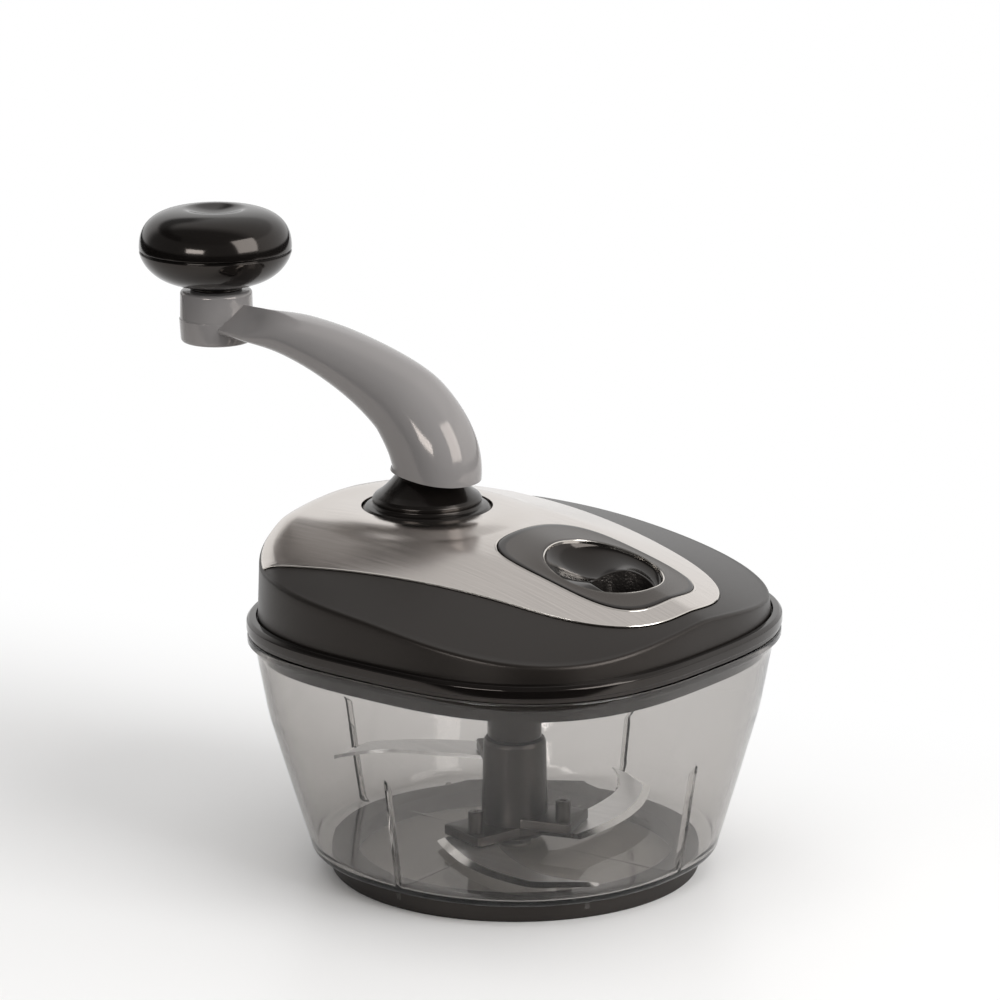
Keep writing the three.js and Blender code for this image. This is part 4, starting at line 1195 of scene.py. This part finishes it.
    def build(self) -> None:
        """Makes the pieces of the lid."""
        made = self.finishes
        base = self.ring_skin().join(self.sleeve_skin())
        piece("lid_ring_and_skirt", base, Body.LID, [made.gloss_black], ["lid_base"])
        housing = piece("domed_housing", self.housing_skin(), Body.LID, [made.satin_black],
                        ["lid_housing"])
        top = self.above_all
        fill_cut = rod(self.fill_radius + self.fill_gap, self.floor_top, top, 96, BOWL_X + self.fill_place)
        carve(housing, [fill_cut, rod(self.hub_hole, self.hub_floor, top, 144)])
        plate = piece("stainless_plate", self.plate_skin(), Body.LID, [made.brushed, made.plate_edge],
                      ["cover_plate"])
        window = loft([flat_ring(self.trim_outline(self.gap), height) for height in (self.window_low, top)])
        carve(plate, [rod(self.hub_hole, self.hub_cut_low, top, 144), window])
        piece("filling_surround", self.trim_skin(), Body.LID, [made.trim_black, made.gloss_black],
              ["filler_trim"])
        piece("filling_cup", self.cup_skin(), Body.LID, [made.gloss_black, made.grained_black],
              ["filler_cup"])
        piece("plate_cutout_lip", self.cutout_skin(), Body.LID, [made.plate_edge])
        piece("filling_mouth_bead", self.mouth_skin(), Body.LID, [made.plate_edge])


@dataclass
class CrankAssembly:
    """The curved arm with its boss, and the bell-shaped collar that it springs from."""

    finishes: Finishes
    reach: float = 93.2
    hood_low: float = 129.1
    hood_tilt: float = 6.5
    hood_shift: float = 4.6
    arm_low: float = 130.4
    hood_half_length: float = 16.2
    hood_half_width: float = 13.5
    rise: float = 40.0
    boss_radius: float = 12.7
    boss_low: float = 161.35
    boss_high: float = 179.45
    boss_parting: float = 0.45
    collar_low: float = 115.2
    collar_high: float = 137.4
    shoulder_high: float = 121.6
    shoulder_radius: float = 17.3
    neck_radius: float = 7.5
    bell_sweep: float = 2.1
    bore: float = 5.3
    socket_gap: float = 0.3
    # Along the arm: shares of its reach and rise, then of the hood's depth and width
    stations: tuple[tuple[float, float, float, float], ...] = (
        (-0.025, -0.23, 1.0, 1.0),
        (-0.05, 0.027, 0.917, 1.0),
        (-0.025, 0.228, 0.89, 0.99),
        (0.041, 0.435, 0.823, 0.97),
        (0.118, 0.577, 0.742, 0.95),
        (0.263, 0.737, 0.615, 0.91),
        (0.451, 0.878, 0.494, 0.87),
        (0.643, 0.961, 0.401, 0.81),
        (0.836, 0.993, 0.337, 0.74),
        (1.0, 1.0, 0.336, 0.6),
    )
    facet_reach: tuple[float, float] = (0.6, 0.8)
    facet_low: float = 0.45
    facet_squareness: float = 1.12
    rings: int = 110
    sides: int = 96

    def along(self, share: float) -> tuple[float, float, float, float]:
        """Finds the arm's measures, by a smooth curve through the stations.

        Args:
            share: The share of the arm's length.

        Returns:
            Shares of reach, rise, depth and width.
        """
        last = len(self.stations) - 1
        spot = share * last
        index = min(int(spot), last - 1)
        rows = [self.stations[min(max(index + step, 0), last)] for step in (-1, 0, 1, 2)]
        if index == 0:
            rows[0] = tuple(2 * a - b for a, b in zip(rows[1], rows[2]))
        if index == last - 1:
            rows[3] = tuple(2 * a - b for a, b in zip(rows[2], rows[1]))
        return tuple(spline(*values, spot - index) for values in zip(*rows))

    def spine(self, share: float) -> Vector:
        """Returns the middle of the arm at a share of its length."""
        reach, rise, _, _ = self.along(share)
        return Vector((-reach * self.reach, 0, self.arm_low + rise * self.rise))

    def arm_ring(self, share: float) -> Ring:
        """Returns the arm's section: crowned above, a little flatter below, with two flat facets near the boss.

        Args:
            share: The share of the arm's length.

        Returns:
            The ring.
        """
        reached, _, depth, width = self.along(share)
        facet = smoothstep(reached, *self.facet_reach)
        here = self.spine(share)
        step = 0.004
        heading = (self.spine(min(share + step, 1)) - self.spine(max(share - step, 0))).normalized()
        up = Vector((heading.z, 0, -heading.x))
        ring = []
        for turn in even_turns(self.sides):
            upper = math.cos(turn) > 0
            squareness = lerp(2.2, self.facet_squareness, facet) if upper else 2.6
            reach = square_reach(turn, 1, squareness)
            low = self.facet_low * facet
            rise = reach * math.cos(turn) * (1 + low if upper else 1 - low) - low
            rise *= depth * self.hood_half_length
            side = reach * math.sin(turn) * width * self.hood_half_width
            ring.append(here + up * rise + Vector((0, side, 0)))
        return ring

    def arm_skin(self) -> Skin:
        """Returns the arm's beam, closed at both ends."""
        return loft([self.arm_ring(step / self.rings) for step in range(self.rings + 1)])

    def under_hood(self) -> Skin:
        """Returns the block that trims the hood along its tilted open end."""
        half = self.reach
        tilt = Matrix.Rotation(math.radians(self.hood_tilt), 4, "Y")
        return block(-half, half, half, -half, 0).moved(Matrix.Translation((self.hood_shift, 0, self.hood_low)) @ tilt)

    def boss_skin(self) -> Skin:
        """Returns the boss that carries the knob, with its parting line."""
        parting = lerp(self.boss_low, self.boss_high, self.boss_parting)
        return turned([
            (0, self.boss_low, 0), (self.boss_radius - 0.25, self.boss_low, 1.6),
            (self.boss_radius + 0.2, parting, 0.15), (self.boss_radius - 0.05, parting + 0.25, 0.15),
            (self.boss_radius - 0.25, self.boss_high, 1.4), (0, self.boss_high, 0),
        ], 120, -self.reach, steps=7)

    def bell(self, share: float) -> tuple[float, float]:
        """Returns radius and height of the bell at a share of the way from its shoulder to its top."""
        flare = (self.shoulder_radius - self.neck_radius) * (1 - share) ** self.bell_sweep
        return (self.neck_radius + flare, lerp(self.shoulder_high, self.collar_high, share))

    def collar_skin(self) -> Skin:
        """Returns the bell: lip in the plate's hole, shoulder bead, flare and neck."""
        low = self.collar_low
        corners = [
            (self.bore, low, 0), (21.6, low, 0.3), (21.75, low + 1.6, 0.5), (20.6, low + 2.6, 0.8),
            (18.9, low + 3.0, 0.3), (18.3, low + 3.8, 0.5), (18.5, low + 5.2, 0.9), (17.7, low + 6.3, 0.7),
            (*self.bell(0.08), 0),
        ]
        outline = softened(corners, 7) + [self.bell(step / 30) for step in range(3, 31)]
        outline += [(self.bore, self.collar_high), (self.bore, low)]
        return revolve(outline, 144)

    def build(self) -> None:
        """Makes the pieces of the crank."""
        made = self.finishes
        arm = piece("curved_arm", self.arm_skin(), Body.CRANK, [made.grey], ["crank_arm"])
        bell = [self.bell(0.3 + 0.7 * step / 12) for step in range(13)]
        wall = [(across + self.socket_gap, up) for across, up in bell]
        roof = self.collar_high + self.socket_gap
        socket = revolve([(0, 110), (wall[0][0], 110), *wall, (wall[-1][0], roof), (0, roof)])
        carve(arm, [self.under_hood(), socket])
        piece("knob_boss", self.boss_skin(), Body.CRANK, [made.grey])
        piece("bell_collar", self.collar_skin(), Body.CRANK, [made.soft_black],
              ["crank_collar"])


@dataclass
class KnobAssembly:
    """The turning knob: a shallow base and a fuller cap that meet at a dark groove."""

    finishes: Finishes
    place: float = -93.2
    radius: float = 26.35
    seam: float = 193.55
    rise: float = 14.6
    drop: float = 12.5
    above: tuple[float, float] = (2.6, 3.5)
    below: tuple[float, float] = (1.55, 3.4)
    groove: float = 0.8
    groove_depth: float = 1.1
    neck_radius: float = 9.2
    neck_low: float = 179.75
    dish_radius: float = 10.4
    dish_softness: float = 0.12
    dish: float = 2.3

    def edge(self, share: float, height: float) -> tuple[float, float]:
        """Returns a point of the outline at a share of the way to the crown, or to the underside below 0."""
        up, out = self.above if height > 0 else self.below
        return (self.radius * (1 - share**up) ** (1 / out), self.seam + height * share)

    def dished(self, across: float, up: float) -> tuple[float, float]:
        """Returns a point of the crown, lowered where the finger's dish is: a round hollow with a soft lip."""
        inside = 1 - (across / self.dish_radius) ** 2
        return (across, up - self.dish * (inside + math.hypot(inside, self.dish_softness)) / 2)

    def cap_skin(self) -> Skin:
        """Returns the upper shell with its dished crown."""
        lip = self.radius - self.groove_depth
        high = self.seam + self.groove / 2
        crown = self.seam + self.rise
        outline = [(0, self.seam), (lip, self.seam), (lip, high)]
        outline += softened([(lip, high, 0), (self.radius, high, 0.3), (*self.edge(0.12, self.rise), 0)])[1:]
        shares = [math.sin(math.pi / 2 * step / 60) for step in range(6, 60)]
        outline += [self.dished(*self.edge(share, self.rise)) for share in shares]
        outline += [self.dished(across, crown) for across in (1.6, 0.8, 0.0)]
        return revolve(outline, 144, (self.place, 0))

    def base_skin(self) -> Skin:
        """Returns the lower shell with its neck."""
        high = self.seam - self.groove / 2
        lip = self.radius - self.groove_depth
        shares = [math.sin(math.pi / 2 * step / 36) for step in range(35, 0, -1)]
        side = [self.edge(share, -self.drop) for share in shares]
        side = [point for point in side if point[0] > self.neck_radius + 1.2]
        outline = softened([
            (0, self.neck_low, 0), (self.neck_radius, self.neck_low, 0.5),
            (self.neck_radius, self.seam - self.drop, 1.0), (*side[0], 0)])
        outline += [point for point in side[1:] if point[1] < high - 0.4]
        outline += softened([(*outline[-1], 0), (self.radius, high, 0.3), (lip, high, 0), (lip, self.seam, 0)])[1:]
        outline.append((0, self.seam))
        return revolve(outline, 144, (self.place, 0))

    def build(self) -> None:
        """Makes the two shells of the knob."""
        made = self.finishes
        for name, skin, node in (("upper", self.cap_skin(), "knob_cap"), ("lower", self.base_skin(), "knob_base")):
            piece(f"knob_{name}_shell", skin, Body.KNOB, [made.gloss_black], [node])


class Level(Enum):
    """The three blades: platform height, place in the turn, place of the post across it and rise of the tip."""

    LOWER = (15.387, 0, 3.648, 0.0)
    MIDDLE = (18.489, 1, -6.336, 2.8)
    UPPER = (36.507, 2, 3.648, 2.8)

    def __init__(self, top: float, order: int, post_across: float, tip_rise: float) -> None:
        """Names the four values."""
        self.top = top
        self.order = order
        self.post_across = post_across
        self.tip_rise = tip_rise


@dataclass
class CutterAssembly:
    """The column with its clamp platforms, posts and sickle blades."""

    finishes: Finishes
    first_turn: float = math.radians(-103)
    column_low: float = 10.8
    column_high: float = 43.8
    column_foot: float = 11.2
    column_top: float = 10.5
    socket_radius: float = 5.0
    socket_depth: float = 8.0
    platform_reach: float = 23.0
    platform_half: float = 9.6
    platform_thickness: float = 3.4
    platform_corner: float = 1.6
    platform_edge: float = 0.35
    post_radius: float = 2.55
    post_height: float = 7.0
    post_place: float = 19.5575
    blade_reach: float = 61.5
    blade_thickness: float = 1.2
    blade_bevel: float = 2.6
    blade_steps: int = 48
    gap: float = 0.3
    outer: tuple[tuple[float, float], ...] = (
        (0.43, -0.14), (0.485, 0.0), (0.553, 0.225), (0.574, 0.447), (0.55, 0.64), (0.5, 0.776), (0.335, 0.9),
        (0.225, 0.966))
    inner: tuple[tuple[float, float], ...] = (
        (0.3, 0.85), (0.358, 0.712), (0.365, 0.56), (0.32, 0.343), (0.262, 0.19), (0.19, 0.06))

    def spin(self, level: Level) -> Matrix:
        """Returns the placement of a blade's platform."""
        turn = self.first_turn + level.order * TURN / len(Level)
        return Matrix.Translation((BOWL_X, 0, 0)) @ Matrix.Rotation(turn, 4, "Z")

    def column_skin(self) -> Skin:
        """Returns the tapered column."""
        socket = self.column_high - self.socket_depth
        return turned([
            (0, self.column_low, 0), (self.column_foot * 0.93, self.column_low, 0.6),
            (self.column_foot, self.column_low + 1.6, 0.6), (self.column_top, self.column_high - 1.4, 0.4),
            (self.column_top * 0.95, self.column_high, 0.5), (self.socket_radius, self.column_high, 0.2),
            (self.socket_radius, socket, 0), (0, socket, 0),
        ], 96, BOWL_X)

    def platform_skin(self, level: Level) -> Skin:
        """Returns one clamp platform with rounded corners and edges.

        Args:
            level: The blade that it carries.

        Returns:
            The skin.
        """
        top = level.top
        low = top - self.platform_thickness
        reach, half, edge = self.platform_reach, self.platform_half, self.platform_edge
        outline = softened([
            (0, -half, 0), (reach, -half, self.platform_corner), (reach, half, self.platform_corner), (0, half, 0)])
        rings = []
        for inset, height in ((edge, low), (0.0, low + edge), (0.0, top - edge), (0.1, top - 0.1), (edge, top)):
            scale_x, scale_y = (reach - inset) / reach, (half - inset) / half
            rings.append([Vector((x * scale_x, y * scale_y, height)) for x, y in outline])
        return loft(rings).moved(self.spin(level))

    def post_skin(self, level: Level) -> Skin:
        """Returns the post that clamps a blade to its platform.

        Args:
            level: The blade.

        Returns:
            The skin.
        """
        top = level.top
        tip = top + self.gap + self.post_height
        post = turned([
            (0, top - 0.5, 0), (self.post_radius, top - 0.5, 0), (self.post_radius, tip, 0.45),
            (1.1, tip, 0.2), (0.9, tip - 0.8, 0), (0, tip - 0.9, 0),
        ], 40, self.post_place, level.post_across)
        return post.moved(self.spin(level))

    @staticmethod
    def curve(points: Sequence[tuple[float, float]], count: int) -> list[Vector]:
        """Returns points evenly along a smooth curve through the given ones.

        Args:
            points: The given points.
            count: Number of points to return.

        Returns:
            The points.
        """
        last = len(points) - 1
        found = []
        for step in range(count):
            spot = step / (count - 1) * last
            index = min(int(spot), last - 1)
            near = (Vector(points[min(max(index + shift, 0), last)]) for shift in (-1, 0, 1, 2))
            found.append(spline(*near, spot - index))
        return found

    def blade_skin(self, level: Level) -> Skin:
        """Returns a sickle blade, thick along its back and ground to its outer edge.

        Args:
            level: Which of the three blades.

        Returns:
            The skin, with the ground bevel as its second material.
        """
        count = self.blade_steps
        root = self.column_foot + self.gap
        outer = [Vector((root, -self.platform_half * 0.9))]
        outer += [point * self.blade_reach for point in self.curve(self.outer, count - 1)]
        back = [Vector((root, self.platform_half * 0.4))]
        back += [point * self.blade_reach for point in self.curve(self.inner[::-1], count - 2)]
        back.append(Vector(self.outer[-1]) * self.blade_reach)
        high = level.top - self.platform_thickness - self.gap
        low = high - self.blade_thickness
        skin = Skin()
        for edge, spine in zip(outer, back):
            across = spine - edge
            width = across.length
            bevel = min(self.blade_bevel, 0.6 * width)
            share = bevel / width if width > ON_AXIS else 0
            line = edge + across * share
            for spot, height in ((edge, low), (line, high), (spine, high), (spine, low)):
                out = max(spot.length - self.platform_reach, 0) / (self.blade_reach - self.platform_reach)
                skin.points.append(Vector((spot.x, spot.y, height + level.tip_rise * out**1.5)))
        for step in range(count - 1):
            near, far = step * 4, step * 4 + 4
            for side, mark in ((0, 1), (1, 0), (2, 0), (3, 0)):
                after = (side + 1) % 4
                skin.add_face((near + side, near + after, far + after, far + side), mark)
        skin.add_face((0, 1, 2, 3))
        return skin.moved(self.spin(level))

    def build(self) -> None:
        """Makes the cutter's pieces."""
        made = self.finishes
        column = self.column_skin()
        for level in Level:
            column.join(self.platform_skin(level))
        piece("cutter_column", column, Body.BLADES, [made.column_black], ["blade_column"])
        for level in Level:
            name = level.name.lower()
            piece(f"sickle_blade_{name}", self.blade_skin(level), Body.BLADES, [made.blade, made.bevel],
                  [f"blade_{name}"], 20)
            piece(f"clamp_post_{name}", self.post_skin(level), Body.BLADES, [made.column_black],
                  [f"blade_post_{name}"])


@dataclass
class DriveAssembly:
    """The hidden drive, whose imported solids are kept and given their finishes."""

    finishes: Finishes

    def build(self) -> None:
        """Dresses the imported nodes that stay."""
        made = self.finishes
        screws = [f"lid_screw_{number}" for number in range(1, 5)]
        dressed = {
            **dict.fromkeys(["sleeve_bush", "crank_bush"], made.brass),
            **dict.fromkeys(["pinion", "drive_gear"], made.acetal),
            **dict.fromkeys(["crank_shaft", "gear_washer", "gear_screw", "knob_axle", *screws], made.steel),
        }
        for name, finish in dressed.items():
            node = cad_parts[name]
            node.data.materials.clear()
            node.data.materials.append(finish)
            log.info("%s: kept, with %s", name, finish.name)


# Studio


def joined(tree: bpy.types.NodeTree, operation: str, *values: bpy.types.NodeSocket) -> bpy.types.NodeSocket:
    """Joins values two by two.

    Args:
        tree: The node tree.
        operation: What the math nodes do.
        values: The values, in order.

    Returns:
        The result.
    """
    found = values[0]
    for value in values[1:]:
        found = add_node(tree, "ShaderNodeMath", {0: found, 1: value}, operation=operation).outputs["Value"]
    return found


def seen_by(tree: bpy.types.NodeTree, *rays: str) -> bpy.types.NodeSocket:
    """Returns 1 for rays of the named kinds and 0 for others."""
    path = add_node(tree, "ShaderNodeLightPath")
    return joined(tree, "MAXIMUM", *(path.outputs[f"Is {ray} Ray"] for ray in rays))


@dataclass
class Studio:
    """Pale floor, white surroundings, soft lamps and the camera of the photograph."""

    camera_place: tuple[float, float, float] = (899.04, -1110.94, 493.36)
    camera_pitch: float = 75.33
    camera_turn: float = 38.0
    lens: float = 158.33
    target: tuple[float, float, float] = (0.0, 0.0, 100.0)
    sweep_turn: float = 38.0
    white_turn: float = 12.0
    # In metres: front, back and half width of the sheet, and where its white begins and is full
    sheet: tuple[float, float, float] = (-0.28, 4.0, 0.8)
    sweep_start: float = 0.02
    sweep_full: float = 0.2
    front_shade: float = 0.2
    front_edge: tuple[float, float] = (-0.12, 0.33)
    panel_edge: tuple[float, float] = (-0.48, -0.4)
    left_shades: tuple[tuple[float, float], ...] = (
        (0.0, 0.04), (0.48, 0.04), (0.5, 1.0), (0.745, 1.0), (0.785, 0.18), (0.85, 0.18), (0.89, 0.7), (1.0, 0.75))
    right_shades: tuple[tuple[float, float], ...] = (
        (0.0, 0.04), (0.48, 0.04), (0.5, 1.0), (0.745, 1.0), (0.785, 0.68), (1.0, 0.72))

    def camera(self) -> None:
        """Makes the camera."""
        data = bpy.data.cameras.new("camera")
        data.lens = self.lens
        data.sensor_width = 36
        data.clip_end = 20
        made = add_object("camera", data)
        made.location = Vector(self.camera_place) * MM
        made.rotation_euler = (math.radians(self.camera_pitch), 0, math.radians(self.camera_turn))
        bpy.context.scene.camera = made

    def lamp(self, name: str, azimuth: float, elevation: float, distance: float, size: tuple[float, float],
             power: float, mirrored: bool = True) -> None:
        """Makes one softbox.

        Args:
            name: Name of the lamp.
            azimuth: Its direction in degrees, with 0 in front of the object and 90 at its right.
            elevation: Its angle over the worktop in degrees.
            distance: Its distance in metres.
            size: Its width and height in metres.
            power: Its power in watts.
            mirrored: Whether gloss shows it; a wide scrim over the object shows none.
        """
        data = bpy.data.lights.new(name, "AREA")
        data.shape = "RECTANGLE"
        data.size, data.size_y = size
        data.energy = power
        made = add_object(name, data)
        made.visible_glossy = mirrored
        turn, rise = math.radians(azimuth), math.radians(elevation)
        back = Vector((math.sin(turn) * math.cos(rise), -math.cos(turn) * math.cos(rise), math.sin(rise)))
        made.location = Vector(self.target) * MM + back * distance
        made.rotation_euler = (-back).to_track_quat("-Z", "Y").to_euler()

    def along(self, tree: bpy.types.NodeTree, place: bpy.types.NodeSocket, turn: float) -> bpy.types.NodeSocket:
        """Returns how far a place or direction lies towards the backdrop.

        Args:
            tree: The node tree.
            place: The place or direction.
            turn: Turn of the measured direction away from the backdrop, in degrees.

        Returns:
            The distance.
        """
        turned = math.radians(self.white_turn + turn)
        part = add_node(tree, "ShaderNodeVectorMath", {
            0: place, 1: (-math.sin(turned), math.cos(turned), 0.0)}, operation="DOT_PRODUCT")
        return part.outputs["Value"]

    def shades(self, tree: bpy.types.NodeTree, level: bpy.types.NodeSocket,
               steps: Sequence[tuple[float, float]]) -> bpy.types.NodeSocket:
        """Returns the shade of the surroundings by height.

        Args:
            tree: The node tree.
            level: The height, from 0 straight down to 1 straight up.
            steps: Heights with their shades.

        Returns:
            The shade.
        """
        height = add_node(tree, "ShaderNodeValToRGB", {"Fac": level})
        ramp = height.color_ramp
        for share, _ in steps[1:-1]:
            ramp.elements.new(share)
        for element, (_, shade) in zip(ramp.elements, steps):
            element.color = (shade, shade, shade, 1)
        return height.outputs["Color"]

    def world(self) -> None:
        """Makes the surroundings: white backdrop, a dim panel over its left part, pale ceiling, dim front.

        The eye sees white on all sides, also through the clear bowl. Gloss and light get the shades.
        """
        world = bpy.data.worlds.new("studio")
        bpy.context.scene.world = world
        world.use_nodes = True
        tree = world.node_tree
        tree.nodes.clear()
        place = add_node(tree, "ShaderNodeTexCoord").outputs["Generated"]
        up = add_node(tree, "ShaderNodeSeparateXYZ", {"Vector": place})
        level = add_node(tree, "ShaderNodeMapRange", {
            "Value": up.outputs["Z"], "From Min": -1.0, "From Max": 1.0}).outputs["Result"]
        right = add_node(tree, "ShaderNodeMapRange", {
            "Value": self.along(tree, place, -90), "From Min": self.panel_edge[0], "From Max": self.panel_edge[1]})
        shade = add_node(tree, "ShaderNodeMix", {
            "Factor": right.outputs["Result"], "A": self.shades(tree, level, self.left_shades),
            "B": self.shades(tree, level, self.right_shades)})
        depth = add_node(tree, "ShaderNodeMapRange", {
            "Value": self.along(tree, place, 0), "From Min": self.front_edge[0], "From Max": self.front_edge[1],
            "To Min": self.front_shade, "To Max": 1.0}, interpolation_type="SMOOTHSTEP")
        strength = joined(tree, "MULTIPLY", shade.outputs["Result"], depth.outputs["Result"])
        shown = joined(tree, "MAXIMUM", strength, seen_by(tree, "Camera", "Transmission"))
        lit = add_node(tree, "ShaderNodeBackground", {"Color": colour("#ffffff"), "Strength": shown})
        add_node(tree, "ShaderNodeOutputWorld", {"Surface": lit.outputs["Background"]})

    def floor(self) -> None:
        """Makes the worktop, a pale sheet that runs into a white backdrop."""
        mesh = bpy.data.meshes.new("worktop")
        turn = Matrix.Rotation(math.radians(self.sweep_turn), 3, "Z")
        front, back, half = self.sheet
        corners = [(-half, front, 0), (half, front, 0), (half, back, 0), (-half, back, 0)]
        mesh.from_pydata([turn @ Vector(corner) for corner in corners], [], [(0, 1, 2, 3)])
        material, tree, surface = new_material("pale_worktop", {
            "Base Color": colour("#f0efee"), "Roughness": 0.4, "Specular IOR Level": 0.25})
        place = add_node(tree, "ShaderNodeTexCoord").outputs["Object"]
        behind = add_node(tree, "ShaderNodeMapRange", {
            "Value": self.along(tree, place, 0), "From Min": self.sweep_start, "From Max": self.sweep_full},
            interpolation_type="SMOOTHSTEP")
        share = joined(tree, "MULTIPLY", behind.outputs["Result"], seen_by(tree, "Camera", "Glossy", "Transmission"))
        white = add_node(tree, "ShaderNodeEmission", {"Color": (1, 1, 1, 1), "Strength": 1.0})
        mix = add_node(tree, "ShaderNodeMixShader", {
            0: share, 1: surface.outputs["BSDF"], 2: white.outputs["Emission"]})
        tree.links.new(mix.outputs["Shader"], tree.get_output_node("ALL").inputs["Surface"])
        mesh.materials.append(material)
        made = add_object("worktop", mesh)

    def build(self) -> None:
        """Makes the whole studio."""
        self.camera()
        self.world()
        self.floor()
        self.lamp("top_softbox", 20, 80, 1.5, (1.5, 1.5), 9.5, mirrored=False)
        self.lamp("front_window", 7, 13, 1.5, (0.7, 0.26), 6)
        self.lamp("right_softbox", 92, 27, 1.6, (1.0, 1.2), 21)
        bpy.context.scene.view_settings.view_transform = "Standard"


def main() -> None:
    """Builds the studio and the object, piece by piece."""
    logging.basicConfig(level=logging.INFO, format="%(name)s %(message)s")
    Studio().build()
    finishes = Finishes()
    for assembly in (BowlAssembly, LidAssembly, CrankAssembly, KnobAssembly, CutterAssembly, DriveAssembly):
        log.info("building %s", assembly.__name__)
        assembly(finishes).build()


if __name__ == "__main__":
    main()
